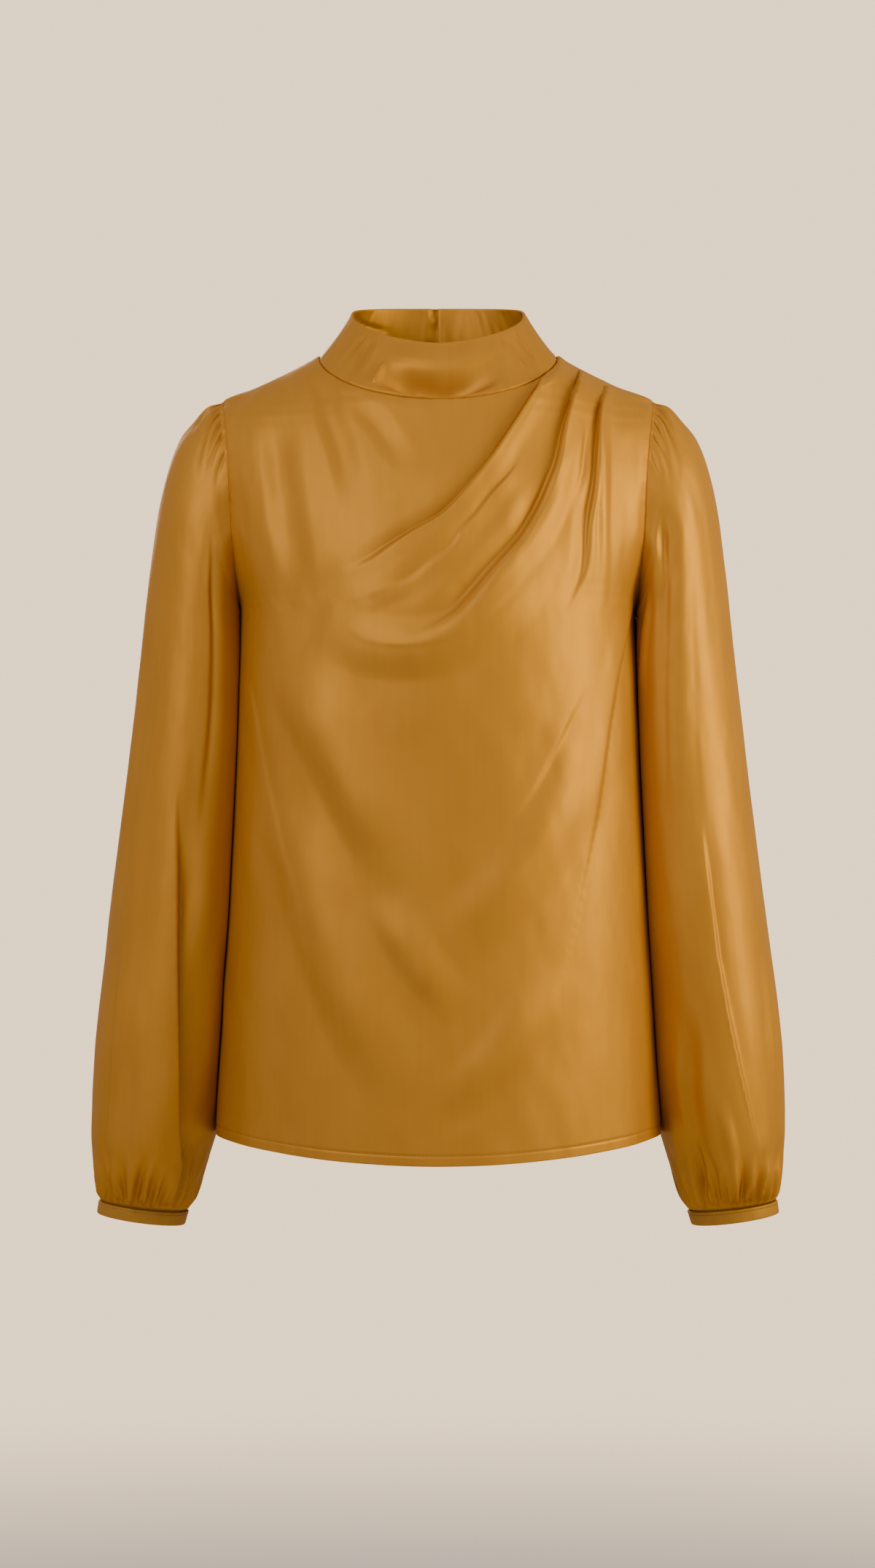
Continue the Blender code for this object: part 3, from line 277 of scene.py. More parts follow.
RIGHT_SLEEVE_FOLDS = (
    Fold(((94, 0.036), (103, 0.070), (107, 0.130), (108, 0.179), (108, 0.251), (106, 0.320),
          (104, 0.380)),
         0.0004, 0.026, -0.0090, 0.060, (0.0060, 0.0070), 0.30, 0.45),
    Fold(((84, 0.310), (87, 0.348), (92, 0.388), (98, 0.447), (103, 0.493), (110, 0.550),
          (119, 0.589), (128, 0.614), (136, 0.634)),
         0.0008, 0.022, -0.0095, 0.046, (0.0034, 0.0036), 0.32, 0.12),
    Fold(((148, 0.400), (152, 0.500), (154, 0.600)),
         -0.0030, 0.020, -0.0030, 0.020, (0.005, 0.005), 0.3, 0.3),
    Fold(((44, 0.440), (46, 0.494), (47, 0.535), (48, 0.563), (47, 0.609), (43, 0.638)),
         -0.0014, 0.014, 0.0014, 0.018, (0.0020, 0.0024), 0.25, 0.20),
    Fold(((74, 0.520), (70, 0.560), (68, 0.600), (70, 0.630)),
         -0.0018, 0.012, -0.0018, 0.012, (0.004, 0.004), 0.4, 0.3),
    Fold(((60, 0.300), (64, 0.400), (66, 0.500)),
         -0.0016, 0.018, -0.0016, 0.018, (0.006, 0.006), 0.4, 0.4),
    Fold(((20, 0.120), (24, 0.300), (22, 0.460)), 0.0020, 0.016, 0.0020, 0.016, (0.006, 0.006), 0.4, 0.4),
    Fold(((255, 0.120), (250, 0.300), (248, 0.560)),
         -0.0045, 0.020, -0.0045, 0.016, (0.005, 0.005), 0.3, 0.3),
    Fold(((300, 0.160), (298, 0.350), (295, 0.620)),
         0.0045, 0.020, 0.0040, 0.022, (0.005, 0.005), 0.3, 0.3),
    Fold(((272, 0.300), (276, 0.440), (278, 0.620)),
         0.0026, 0.012, -0.0030, 0.014, (0.004, 0.004), 0.3, 0.2),
    Fold(((222, 0.320), (224, 0.470), (220, 0.610)),
         -0.0026, 0.014, 0.0026, 0.012, (0.004, 0.004), 0.3, 0.3),
    Fold(((330, 0.380), (334, 0.500), (338, 0.620)),
         -0.0022, 0.012, 0.0014, 0.012, (0.003, 0.003), 0.3, 0.3),
)
LEFT_SLEEVE_FOLDS = (
    Fold(((84, 0.024), (100, 0.040), (109, 0.070), (113, 0.131), (116, 0.191), (118, 0.253),
          (119, 0.330)),
         -0.0044, 0.014, -0.0040, 0.011, (0.004, 0.004), 0.12, 0.45),
    Fold(((120, 0.040), (128, 0.080), (131, 0.163), (134, 0.240)),
         0.0020, 0.008, 0.0020, 0.008, (0.004, 0.004), 0.3, 0.4),
    Fold(((66, 0.036), (80, 0.060), (90, 0.114), (95, 0.227), (101, 0.326), (104, 0.400)),
         0.0018, 0.018, 0.0018, 0.014, (0.006, 0.006), 0.30, 0.5),
    Fold(((150, 0.280), (156, 0.360), (158, 0.480)),
         -0.0020, 0.018, -0.0020, 0.018, (0.005, 0.005), 0.4, 0.4),
    Fold(((84, 0.340), (82, 0.406), (81, 0.447), (78, 0.493), (75, 0.522), (71, 0.550), (65, 0.589),
          (60, 0.607), (53, 0.625)),
         -0.0016, 0.018, 0.0022, 0.024, (0.0022, 0.0026), 0.25, 0.15),
    Fold(((82, 0.440), (78, 0.493), (71, 0.550), (65, 0.589), (60, 0.607)),
         0.0009, 0.004, 0.0009, 0.005, (0.002, 0.002), 0.3, 0.3),
    Fold(((30, 0.440), (32, 0.496), (34, 0.534), (33, 0.571), (30, 0.600)),
         -0.0014, 0.012, 0.0012, 0.012, (0.0022, 0.0022), 0.3, 0.4),
    Fold(((108, 0.490), (113, 0.538), (117, 0.568), (119, 0.599), (120, 0.625), (122, 0.645)),
         -0.0044, 0.013, -0.0044, 0.013, (0.004, 0.004), 0.35, 0.10),
    Fold(((138, 0.570), (144, 0.597), (148, 0.618), (148, 0.640)),
         0.0020, 0.010, 0.0020, 0.010, (0.004, 0.004), 0.4, 0.2),
    Fold(((92, 0.560), (89, 0.591), (86, 0.622), (82, 0.640)),
         0.0018, 0.008, 0.0018, 0.009, (0.003, 0.003), 0.4, 0.2),
    Fold(((262, 0.140), (256, 0.300), (250, 0.560)),
         -0.0045, 0.020, -0.0045, 0.016, (0.005, 0.005), 0.3, 0.3),
    Fold(((305, 0.180), (300, 0.380), (292, 0.620)),
         0.0045, 0.020, 0.0040, 0.022, (0.005, 0.005), 0.3, 0.3),
    Fold(((280, 0.280), (276, 0.420), (270, 0.610)),
         -0.0030, 0.012, 0.0026, 0.014, (0.004, 0.004), 0.3, 0.2),
    Fold(((228, 0.340), (222, 0.480), (226, 0.610)),
         0.0026, 0.014, -0.0026, 0.012, (0.004, 0.004), 0.3, 0.3),
    Fold(((334, 0.400), (330, 0.520), (335, 0.622)),
         0.0014, 0.012, -0.0022, 0.012, (0.003, 0.003), 0.3, 0.3),
)

# Gathers of a sleeve end: place round the sleeve, how far it wanders on its way (degrees), length,
# depth and half width where it starts at the seam.
Gather = namedtuple("Gather", "angle lean length depth width")
RIGHT_CUFF_GATHERS = (
    Gather(10, -4, 0.040, 0.0036, 0.0028), Gather(21, -6, 0.055, 0.0046, 0.0031),
    Gather(32, -6, 0.030, 0.0032, 0.0026), Gather(43, -4, 0.044, 0.0044, 0.0030),
    Gather(54, -12, 0.060, 0.0062, 0.0034), Gather(63, -3, 0.024, 0.0034, 0.0025),
    Gather(71, -7, 0.044, 0.0054, 0.0031), Gather(82, 10, 0.050, 0.0060, 0.0033),
    Gather(89, 2, 0.022, 0.0032, 0.0024), Gather(97, 8, 0.040, 0.0056, 0.0032),
    Gather(109, 5, 0.034, 0.0050, 0.0030), Gather(117, 6, 0.022, 0.0032, 0.0024),
    Gather(126, 20, 0.064, 0.0066, 0.0035), Gather(138, 18, 0.052, 0.0056, 0.0032),
    Gather(150, 10, 0.030, 0.0036, 0.0027), Gather(160, 12, 0.046, 0.0046, 0.0030),
    Gather(172, 5, 0.030, 0.0036, 0.0027),
)
LEFT_CUFF_GATHERS = (
    Gather(10, 5, 0.034, 0.0036, 0.0027), Gather(22, -5, 0.050, 0.0046, 0.0031),
    Gather(40, -12, 0.060, 0.0060, 0.0034), Gather(53, -4, 0.028, 0.0036, 0.0027),
    Gather(64, -8, 0.048, 0.0056, 0.0032), Gather(73, -2, 0.022, 0.0032, 0.0024),
    Gather(82, -5, 0.046, 0.0060, 0.0033), Gather(90, 2, 0.024, 0.0032, 0.0024),
    Gather(98, 5, 0.034, 0.0044, 0.0029), Gather(106, 6, 0.052, 0.0056, 0.0032),
    Gather(115, 3, 0.024, 0.0034, 0.0025), Gather(123, 8, 0.070, 0.0064, 0.0035),
    Gather(136, 12, 0.034, 0.0044, 0.0029), Gather(150, 10, 0.050, 0.0054, 0.0032),
    Gather(162, 6, 0.030, 0.0036, 0.0027), Gather(173, 5, 0.040, 0.0044, 0.0030),
)
BACK_GATHERS = 15  # across the back half of a cuff
HEAD_GATHERS = (
    Gather(-60, -14, 0.024, 0.0024, 0.0026), Gather(-44, -22, 0.034, 0.0036, 0.0028),
    Gather(-31, -24, 0.028, 0.0030, 0.0026), Gather(-20, -20, 0.042, 0.0042, 0.0029),
    Gather(-10, -10, 0.028, 0.0034, 0.0026), Gather(0, 4, 0.034, 0.0042, 0.0028),
    Gather(8, 18, 0.040, 0.0050, 0.0029), Gather(16, 32, 0.032, 0.0040, 0.0026),
    Gather(24, 36, 0.042, 0.0052, 0.0029), Gather(34, 30, 0.028, 0.0036, 0.0026),
    Gather(46, 24, 0.034, 0.0034, 0.0028), Gather(60, 16, 0.022, 0.0024, 0.0026),
)


# --- the studio ------------------------------------------------------------------------------------

FLOOR_HEIGHT, FLOOR_RADIUS, FLOOR_FADE = -1.38, 60, (1.9, 3.6)
FLOOR_COLOUR = (0.60, 0.565, 0.525, 1)
FILL_COLOUR, FILL_STRENGTH = (1.0, 0.97, 1.0, 1), 0.58
LIGHT_TARGET = (0, 0, -0.30)
SoftBox = namedtuple("SoftBox", "name place size power tint")
SOFT_BOXES = (
    SoftBox("key_right", (1.315, -0.531, 0.0), (0.60, 0.80), 18.5, (1, 0.90, 0.16)),
    SoftBox("front_left", (-0.760, -1.110, 0.38), (0.9, 0.9), 9.8, (1, 0.95, 0.66)),
    SoftBox("back_light", (-0.5, 1.9, 0.3), (0.9, 0.9), 14, (1, 0.97, 0.93)),
)
CAMERA_PLACE, CAMERA_LENS, CAMERA_SENSOR = (-0.0005, -2.8, -0.338), 81.54, 36

# --- sizes and colours a maker may change ---------------------------------------------------------


class BlouseSizes(bpy.types.PropertyGroup):
    hem_turn: bpy.props.FloatProperty(
        name="Hem turn", description="How far the hem is turned up inside", default=0.012, unit="LENGTH"
    )
    hem_round: bpy.props.FloatProperty(
        name="Hem edge radius", description="Radius of the hem's turned edge", default=0.0008, unit="LENGTH"
    )
    stitch_height: bpy.props.FloatProperty(
        name="Topstitch height", description="Topstitching above the hem's edge", default=0.008, unit="LENGTH"
    )
    stitch_pitch: bpy.props.FloatProperty(
        name="Stitch pitch", description="From one stitch to the next", default=0.0029, unit="LENGTH"
    )
    stitch_length: bpy.props.FloatProperty(
        name="Stitch length", description="Visible length of one stitch", default=0.0023, unit="LENGTH"
    )
    thread: bpy.props.FloatProperty(
        name="Thread", description="Thickness of the sewing thread", default=0.00042, unit="LENGTH"
    )
    seam_depth: bpy.props.FloatProperty(
        name="Seam depth", description="How far the cloth dips into a seam", default=0.0006, unit="LENGTH"
    )
    seam_round: bpy.props.FloatProperty(
        name="Seam roll", description="Width over which the cloth rolls into a seam", default=0.0012,
        unit="LENGTH",
    )
    band_wall: bpy.props.FloatProperty(
        name="Band thickness", description="Thickness of the neck band and cuffs, two layers",
        default=0.0018, unit="LENGTH",
    )


class BlouseColours(bpy.types.PropertyGroup):
    satin: bpy.props.FloatVectorProperty(
        name="Satin", description="Colour of the satin's right side", default=(0.520, 0.228, 0.034),
        subtype="COLOR", size=3, min=0, max=1,
    )
    satin_deep: bpy.props.FloatVectorProperty(
        name="Satin, deep", description="Darker tone that varies over the satin",
        default=(0.485, 0.210, 0.030), subtype="COLOR", size=3, min=0, max=1,
    )
    reverse: bpy.props.FloatVectorProperty(
        name="Reverse", description="Colour of the satin's duller wrong side", default=(0.430, 0.205, 0.040),
        subtype="COLOR", size=3, min=0, max=1,
    )
    thread: bpy.props.FloatVectorProperty(
        name="Thread", description="Colour of the sewing thread", default=(0.300, 0.118, 0.014),
        subtype="COLOR", size=3, min=0, max=1,
    )
    backdrop: bpy.props.FloatVectorProperty(
        name="Backdrop", description="Light given off by the studio backdrop", default=(1.95, 1.46, 1.00),
        subtype="COLOR", size=3, min=0, max=4,
    )


def sizes():
    return bpy.context.scene.blouse_sizes


def colours():
    return bpy.context.scene.blouse_colours


# --- curves and noise ------------------------------------------------------------------------------


def curve(knots, values, at):
    """A smooth curve through (knots, values) that never overshoots them, read at the given places."""
    knots, values, at = (np.asarray(a, float) for a in (knots, values, at))
    if knots[0] > knots[-1]:
        knots, values = knots[::-1], values[::-1]
    step = np.diff(knots)
    rise = np.diff(values) / step
    slope = np.zeros(len(knots))
    same = rise[:-1] * rise[1:] > 0
    weight = 3 * (step[:-1] + step[1:])
    first, last = 2 * step[1:] + step[:-1], step[1:] + 2 * step[:-1]
    with np.errstate(divide="ignore", invalid="ignore"):
        slope[1:-1] = np.where(same, weight / (first / rise[:-1] + last / rise[1:]), 0)
    slope[0], slope[-1] = rise[0], rise[-1]
    at = np.clip(at, knots[0], knots[-1])
    i = np.clip(np.searchsorted(knots, at) - 1, 0, len(step) - 1)
    t = (at - knots[i]) / step[i]
    return (
        (2 * t**3 - 3 * t**2 + 1) * values[i]
        + (t**3 - 2 * t**2 + t) * step[i] * slope[i]
        + (3 * t**2 - 2 * t**3) * values[i + 1]
        + (t**3 - t**2) * step[i] * slope[i + 1]
    )


def level(name, z):
    return curve([row.z for row in LEVELS], [getattr(row, name) for row in LEVELS], z)


def smooth_step(t):
    t = np.clip(t, 0, 1)
    return t * t * (3 - 2 * t)


def fall_off(t):
    """1 at 0, and smoothly 0 from 1 on."""
    return np.clip(1 - np.abs(t) ** 2, 0, 1) ** 2


def swells(u, v, size_u, size_v, seed):
    """Smooth uneven swells between -1 and 1, about size_u by size_v."""
    lattice = np.random.default_rng(seed).uniform(-1, 1, (97, 97))
    u, v = u / size_u + 41.3, v / size_v + 37.7
    i, j = np.floor(u).astype(int), np.floor(v).astype(int)
    ease = lambda t: t * t * t * (t * (6 * t - 15) + 10)
    s, t = ease(u - i), ease(v - j)
    pick = lambda a, b: lattice[(i + a) % 97, (j + b) % 97]
    return (pick(0, 0) * (1 - s) + pick(1, 0) * s) * (1 - t) + (pick(0, 1) * (1 - s) + pick(1, 1) * s) * t


def smooth_path(points, steps=8):
    """A Catmull-Rom curve through points."""
    points = np.array(points, float)
    padded = np.vstack([2 * points[0] - points[1], points, 2 * points[-1] - points[-2]])
    parts = []
    for a, b, c, d in zip(padded, padded[1:], padded[2:], padded[3:]):
        t = np.linspace(0, 1, steps, endpoint=False)[:, None]
        parts.append(
            0.5 * (2 * b + (c - a) * t + (2 * a - 5 * b + 4 * c - d) * t**2 + (3 * b - a - 3 * c + d) * t**3)
        )
    return np.vstack([*parts, points[-1:]])


def along_path(path, x, z):
    """How far each place is to the right of a path, how far down it, as a share, and the way right."""
    start, way = path[:-1], np.diff(path, axis=0)
    long = np.linalg.norm(way, axis=1)
    off_x, off_z = x[:, None] - start[:, 0], z[:, None] - start[:, 1]
    share = np.clip((off_x * way[:, 0] + off_z * way[:, 1]) / long**2, 0, 1)
    apart = np.hypot(off_x - share * way[:, 0], off_z - share * way[:, 1])
    near = apart.argmin(axis=-1)
    pick = lambda values: np.take_along_axis(values, near[:, None], axis=-1)[:, 0]
    turned = pick(off_z * way[:, 0] - off_x * way[:, 1])
    distance = np.where(turned < 0, -1, 1) * pick(apart)
    passed = np.concatenate([[0], np.cumsum(long)[:-1]])[near] + pick(share) * long[near]
    right = np.stack([-way[:, 1], way[:, 0]], axis=-1) / long[:, None]
    return distance, passed / long.sum(), right[near]


def flank(distance, width, crisp):
    """One side of a fold: 1 at its line and 0 from its width on."""
    t = np.abs(distance) / width
    return (1 - crisp) * fall_off(t) + crisp * np.clip(1 - t, 0, 1) ** 2


def fold_lift(folds, x, z, to_place=None):
    """How far folds move the places (x, z) out, and how far they slide them along x and z."""
    lift, slide = np.zeros(x.shape), np.zeros((*x.shape, 2))
    for fold in folds:
        path = smooth_path(fold.points if to_place is None else to_place(fold.points))
        reach = max(fold.left_width, fold.right_width, 2 * max(fold.edge))
        near = (
            (x > path[:, 0].min() - reach) & (x < path[:, 0].max() + reach)
            & (z > path[:, 1].min() - reach) & (z < path[:, 1].max() + reach)
        )
        if not near.any():
            continue
        distance, share, right = along_path(path, x[near], z[near])
        fade = smooth_step(share / max(fold.start, 1e-6)) * smooth_step((1 - share) / fold.end)
        edge = fold.edge[0] + (fold.edge[1] - fold.edge[0]) * share
        mix = smooth_step(distance / edge + 0.5)
        lift[near] += fade * (
            fold.left * flank(distance, fold.left_width, fold.crisp) * (1 - mix)
            + fold.right * flank(distance, fold.right_width, fold.crisp) * mix
        )
        if fold.roll:
            lean = fold.roll * fade * fall_off((distance - 0.55 * edge) / (1.6 * edge))
            slide[near] -= right * lean[:, None]
    return lift, slide


# --- the body's panels ------------------------------------------------------------------------------


def edge_angle(side, z):
    share = level(side + "_edge", z) / level(side + "_depth", z)
    power = 1 / level(side + "_round", z)
    return np.arccos(np.sign(share) * np.abs(share) ** power)


def panel_point(side, across, z):
    """A point of the front's or back's form. across is -1 at the right edge and 1 at the left."""
    edge = edge_angle(side, z)
    angle = across * edge
    width = level("edge_x", z) / np.sin(edge)
    cosine = np.cos(angle)
    out = level(side + "_depth", z) * np.sign(cosine) * np.abs(cosine) ** level(side + "_round", z)
    facing = -1 if side == "front" else 1
    return np.stack([width * np.sin(angle), facing * out, z + 0 * out], axis=-1)


def across_of(side, x, z):
    edge = edge_angle(side, z)
    return np.arcsin(np.clip(x / (level("edge_x", z) / np.sin(edge)), -1, 1)) / edge


def neckline_z(side, x):
    drop = NECK_DROP if side == "front" else BACK_NECK_DROP
    return HIGH_POINT - drop * np.sqrt(np.clip(1 - (x / NECK_HALF_WIDTH) ** 2, 0, 1))


def neckline_height(side, across):
    """The height at which a column of the panel meets the neckline."""
    columns, place = np.unique(across, return_inverse=True)
    low = np.full_like(columns, -NECK_DROP - 0.01)
    high = np.full_like(columns, HIGH_POINT)
    for _ in range(30):
        middle = (low + high) / 2
        inside = middle < neckline_z(side, panel_point(side, columns, middle)[..., 0])
        low, high = np.where(inside, middle, low), np.where(inside, high, middle)
    return ((low + high) / 2)[place].reshape(across.shape)


def hem_height(side, across):
    dip = HEM_DIP if side == "front" else HEM_DIP / 2
    return HEM_SIDE - dip * np.clip(np.cos(across * math.pi / 2), 0, 1) ** HEM_DIP_POWER


def half_width(side, z):
    """The length of a panel's arc at this height, from its middle to its edge."""
    heights = np.linspace(0.002, -0.640, 240)
    arc = panel_point(side, np.linspace(0, 1, 33), heights[:, None])
    lengths = np.linalg.norm(np.diff(arc, axis=-2), axis=-1).sum(axis=-1)
    return np.interp(-z, -heights, lengths)


def panel_form(side, across, z):
    """A panel's form, with the corners between its measured levels eased away from its edges."""
    exact = panel_point(side, across, z)
    eased = sum(
        weight * panel_point(side, across, z + step * 0.009)
        for step, weight in ((-2, 0.12), (-1, 0.23), (0, 0.30), (1, 0.23), (2, 0.12))
    )
    eased[:, 2] = z
    inner = (
        smooth_step((1 - np.abs(across)) * PANEL_HALF_WIDTH / 0.030)
        * smooth_step((neckline_z(side, exact[:, 0]) - z) / 0.024)
        * smooth_step((z - hem_height(side, across)) / 0.024)
    )
    return exact + (eased - exact) * inner[:, None]


def panel_ways(side, across, z):
    """Unit vectors across a panel, up it and straight out of it."""
    beside = panel_form(side, across + 0.01, z) - panel_form(side, across - 0.01, z)
    above = panel_form(side, across, z + 0.001) - panel_form(side, across, z - 0.001)
    out = np.cross(beside, above) * (1 if side == "front" else -1)
    return (v / np.linalg.norm(v, axis=-1, keepdims=True) for v in (beside, above, out))


def puckers(along, from_seam, seed):
    """Fine unevenness beside a sewn seam."""
    return 0.00030 * swells(along, 0 * along, 0.0050, 1, seed) * fall_off(from_seam / 0.010)


def seam_dip(from_edge):
    """How deep the cloth rolls in beside a seam."""
    return sizes().seam_depth * (1 - smooth_step(from_edge / sizes().seam_round))


def panel_surface(side, across, z, inside=None, dipped=True):
    """Points on a panel's cloth, with its folds, and the way out of it at each."""
    facing, up, out = panel_ways(side, across, z)
    base = panel_form(side, across, z)
    x, width = base[:, 0], half_width(side, z)
    to_edge, to_neck = (1 - np.abs(across)) * width, 1.3 * (neckline_z(side, x) - z)
    main = PLEATS + DRAPES if side == "front" else BACK_DRAPES
    lift, slide = fold_lift(main, x, z)
    settle = smooth_step(to_edge / 0.018) * smooth_step(to_neck / 0.016)
    lift, slide = lift * settle, slide * settle[:, None]
    if side == "front":
        more, aside = fold_lift(STITCHED, x, z)
        settle = smooth_step(to_edge / 0.002) * smooth_step(to_neck / 0.004)
        lift, slide = lift + more * settle, slide + aside * settle[:, None]
    flat = across * width
    seed = 3 if side == "front" else 30
    uneven = (
        0.00060 * swells(flat, z, 0.034, 0.090, seed)
        + 0.00030 * swells(flat + 0.3 * z, z, 0.016, 0.046, seed + 1)
        + 0.00010 * swells(flat, z - 0.4 * flat, 0.007, 0.016, seed + 2)
    )
    lift += uneven * smooth_step(to_edge / 0.015) * smooth_step(to_neck / 0.012)
    lift += puckers(z, to_edge, seed + 3) * (z < SHOULDER_TIP) + puckers(x, to_neck, seed + 4)
    from_hem = z - hem_height(side, across)
    lift -= 0.00050 * fall_off((from_hem - sizes().stitch_height) / 0.0013)
    lift += 0.00016 * swells(flat, 0 * z, 0.006, 1, seed + 5) * fall_off((from_hem - 0.006) / 0.009)
    if dipped:
        lift -= seam_dip(to_edge) + seam_dip(to_neck)
    if inside is not None:
        lift -= inside
    shift = facing * slide[:, :1] * np.sign(facing[:, :1]) + up * slide[:, 1:]
    return base + out * lift[:, None] + shift, out


def sheet_grid(columns, rows):
    """A flat grid, as a bmesh, whose points stand at these columns (x) and rows (y)."""
    bm = bmesh.new()
    bmesh.ops.create_grid(bm, x_segments=len(columns) - 1, y_segments=len(rows) - 1, size=0.5)
    for vert in bm.verts:
        i = round((vert.co.x + 0.5) * (len(columns) - 1))
        j = round((vert.co.y + 0.5) * (len(rows) - 1))
        vert.co = (columns[i], rows[j], 0)
    return bm


def crowded(count, half):
    """Places from -1 to 1, the last few close to the ends, for a panel that is half wide."""
    close = 1 - np.array([0, 0.0005, 0.0010, 0.0016, 0.0023, 0.0033]) / half
    inner = np.linspace(-close[-1], close[-1], count - 14)
    turned = 1 + np.array([0.0035, 0.0012])
    return np.concatenate([-turned, -close[:-1], inner, close[:-1][::-1], turned[::-1]])


def piece(name, bm, material, *nodes, points=None, flat=None, tube=False):
    """A finished piece: its bmesh, with its points in place and its flat pattern as the UV map."""
    mesh = bpy.data.meshes.new(name)
    bm.to_mesh(mesh)
    bm.free()
    if points is not None:
        mesh.vertices.foreach_set("co", np.asarray(points, np.float32).ravel())
        corners = np.empty(len(mesh.loops), np.int32)
        mesh.loops.foreach_get("vertex_index", corners)
        chart = mesh.uv_layers.new(name="pattern")
        chart.uv.foreach_set("vector", np.asarray(flat, np.float32)[corners].ravel())
    if tube:
        close_tube(mesh)
    mesh.shade_smooth()
    mesh.update()
    obj = bpy.data.objects.new(name, mesh)
    bpy.context.scene.collection.objects.link(obj)
    mesh.materials.append(material)
    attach(obj, "root")
    if nodes:
        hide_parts(*nodes)
    return obj


def close_tube(mesh):
    """Joins a tube's first column to its last."""
    bm = bmesh.new()
    bm.from_mesh(mesh)
    rim = {vert for edge in bm.edges if edge.is_boundary for vert in edge.verts}
    bmesh.ops.remove_doubles(bm, verts=list(rim), dist=0.00002)
    bm.to_mesh(mesh)
    bm.free()


def places_of(bm):
    """Where each point of a flat grid stands."""
    bm.verts.ensure_lookup_table()
    bm.verts.index_update()
    return np.array([vert.co for vert in bm.verts])


def make_panel(side):
    """A panel of the body: its cloth, its turned hem and its slit."""
    hem_round, turn = sizes().hem_round, sizes().hem_turn
    rows = np.concatenate([
        [-0.0035, -0.0012],
        np.array([0, 0.0006, 0.0012, 0.0019, 0.0027, 0.0038]) / PANEL_SPAN,
        np.linspace(0.0050, 0.046, 32) / PANEL_SPAN,
        np.linspace(0.0475, 0.260, 132 if side == "front" else 90) / PANEL_SPAN,
        np.linspace(0.2620, 0.606, 136 if side == "front" else 110) / PANEL_SPAN,
        1 - np.linspace(0.0120, 0.0005, 14) / PANEL_SPAN,
        [1],
        1 + hem_round * math.pi * np.linspace(0.1, 1, 9),
        1 + hem_round * math.pi + turn * np.array([0.1, 0.3, 0.6, 0.9, 1.0]),
    ])
    bm = sheet_grid(crowded(190 if side == "front" else 150, PANEL_HALF_WIDTH), rows)
    if side == "front":
        refine(bm, (FIRST_PLEAT, SECOND_PLEAT, THIRD_PLEAT, CHEST_CREASE[:5]), 0.0065)
    slit_sides = {}
    if side == "back":
        slit_sides = open_slit(bm)
    places = places_of(bm)
    across, row = np.clip(places[:, 0], -1, 1), places[:, 1]
    top, hem = neckline_height(side, across), hem_height(side, across) + hem_round
    z = top + (hem - top) * np.clip(row, 0, 1)
    past = np.maximum(row - 1, 0)
    bend = np.clip(past / hem_round, 0, math.pi)
    above = np.maximum(past - math.pi * hem_round, 0)
    z = z - hem_round * np.sin(bend) + above
    # The seam allowances turn inside at the neck, the shoulders, the armholes and the sides.
    inside = hem_round * (1 - np.cos(bend)) + (np.abs(places[:, 0]) - np.abs(across)) + np.maximum(-row, 0)
    # Across the slit, both edges roll in.
    if slit_sides:
        gap = np.array([slit_sides.get(i, 0) for i in range(len(across))])
        from_slit = np.abs(across) * half_width(side, z)
        length = np.clip((z - (top - SLIT_LENGTH)) / 0.012, 0, 1)
        inside = inside + SLIT_ROLL * (1 - smooth_step(from_slit / 0.0022)) * smooth_step(length)
        across = across + gap * SLIT_GAP * smooth_step(length)
    points, _ = panel_surface(side, across, z, inside)
    down = (z if side == "front" else z + 1) - past
    flat = np.stack([across * half_width(side, z), down], axis=-1)
    if side == "front":
        bmesh.ops.reverse_faces(bm, faces=bm.faces)
    obj = piece(side + "_panel", bm, satin_material(side), side, points=points, flat=flat)
    return obj


def refine(bm, lines, reach):
    """Splits the grid finer beside some lines of the front."""
    places = places_of(bm)
    across, row = np.clip(places[:, 0], -1, 1), np.clip(places[:, 1], 0, 1)
    top, hem = neckline_height("front", across), hem_height("front", across)
    z = top + (hem - top) * row
    x = panel_point("front", across, z)[:, 0]
    near = np.zeros(len(x), bool)
    for line in lines:
        path = smooth_path(line)
        box = (x > path[:, 0].min() - 0.02) & (x < path[:, 0].max() + 0.02) & (z > path[:, 1].min() - 0.02)
        distance, *_ = along_path(path, x[box], z[box])
        near[box] |= np.abs(distance) < reach
    edges = [edge for edge in bm.edges if all(near[vert.index] for vert in edge.verts)]
    bmesh.ops.subdivide_edges(bm, edges=edges, cuts=2, use_grid_fill=True)
    bmesh.ops.triangulate(bm, faces=[face for face in bm.faces if len(face.verts) > 4])


def open_slit(bm):
    """Cuts the back's middle column open below the neck and tells which side each new point is on."""
    middle = min(bm.verts, key=lambda vert: abs(vert.co.x)).co.x
    for vert in bm.verts:
        if abs(vert.co.x - middle) < 1e-6:
            vert.co.x = 0
    top = neckline_height("back", np.zeros(1))[0]
    last = SLIT_LENGTH / (top - hem_height("back", np.zeros(1))[0])
    cut = [
        edge for edge in bm.edges
        if all(vert.co.x == 0 and vert.co.y < last for vert in edge.verts)
    ]
    bmesh.ops.split_edges(bm, edges=cut)
    bm.verts.ensure_lookup_table()
    bm.verts.index_update()
    sides = {}
    for vert in bm.verts:
        if vert.co.x == 0 and vert.co.y < last and vert.is_boundary:
            mean = np.mean([face.calc_center_median().x for face in vert.link_faces])
            sides[vert.index] = 1 if mean > 0 else -1
    return sides


# --- sleeves ----------------------------------------------------------------------------------------


def armhole_point(angle):
    """The armhole's outline for the left sleeve: 0 is the shoulder tip and 90 degrees the front."""
    z = SHOULDER_TIP + (UNDERARM - SHOULDER_TIP) * (1 - np.cos(angle)) / 2
    y = np.where(np.sin(angle) >= 0, -level("front_edge", z), level("back_edge", z))
    y = np.where(np.abs(np.sin(angle)) < 1e-9, -0.004 * (np.cos(angle) > 0), y)
    away = 0.0002 + 0.0002 * smooth_step((1 - np.cos(angle)) / 2)
    return np.stack([level("edge_x", z) + away, y, z], axis=-1)


def lengths_of(table):
    outer = np.array([(row.outer_x, row.outer_z) for row in table])
    return np.concatenate([[0], np.cumsum(np.linalg.norm(np.diff(outer, axis=0), axis=1))])


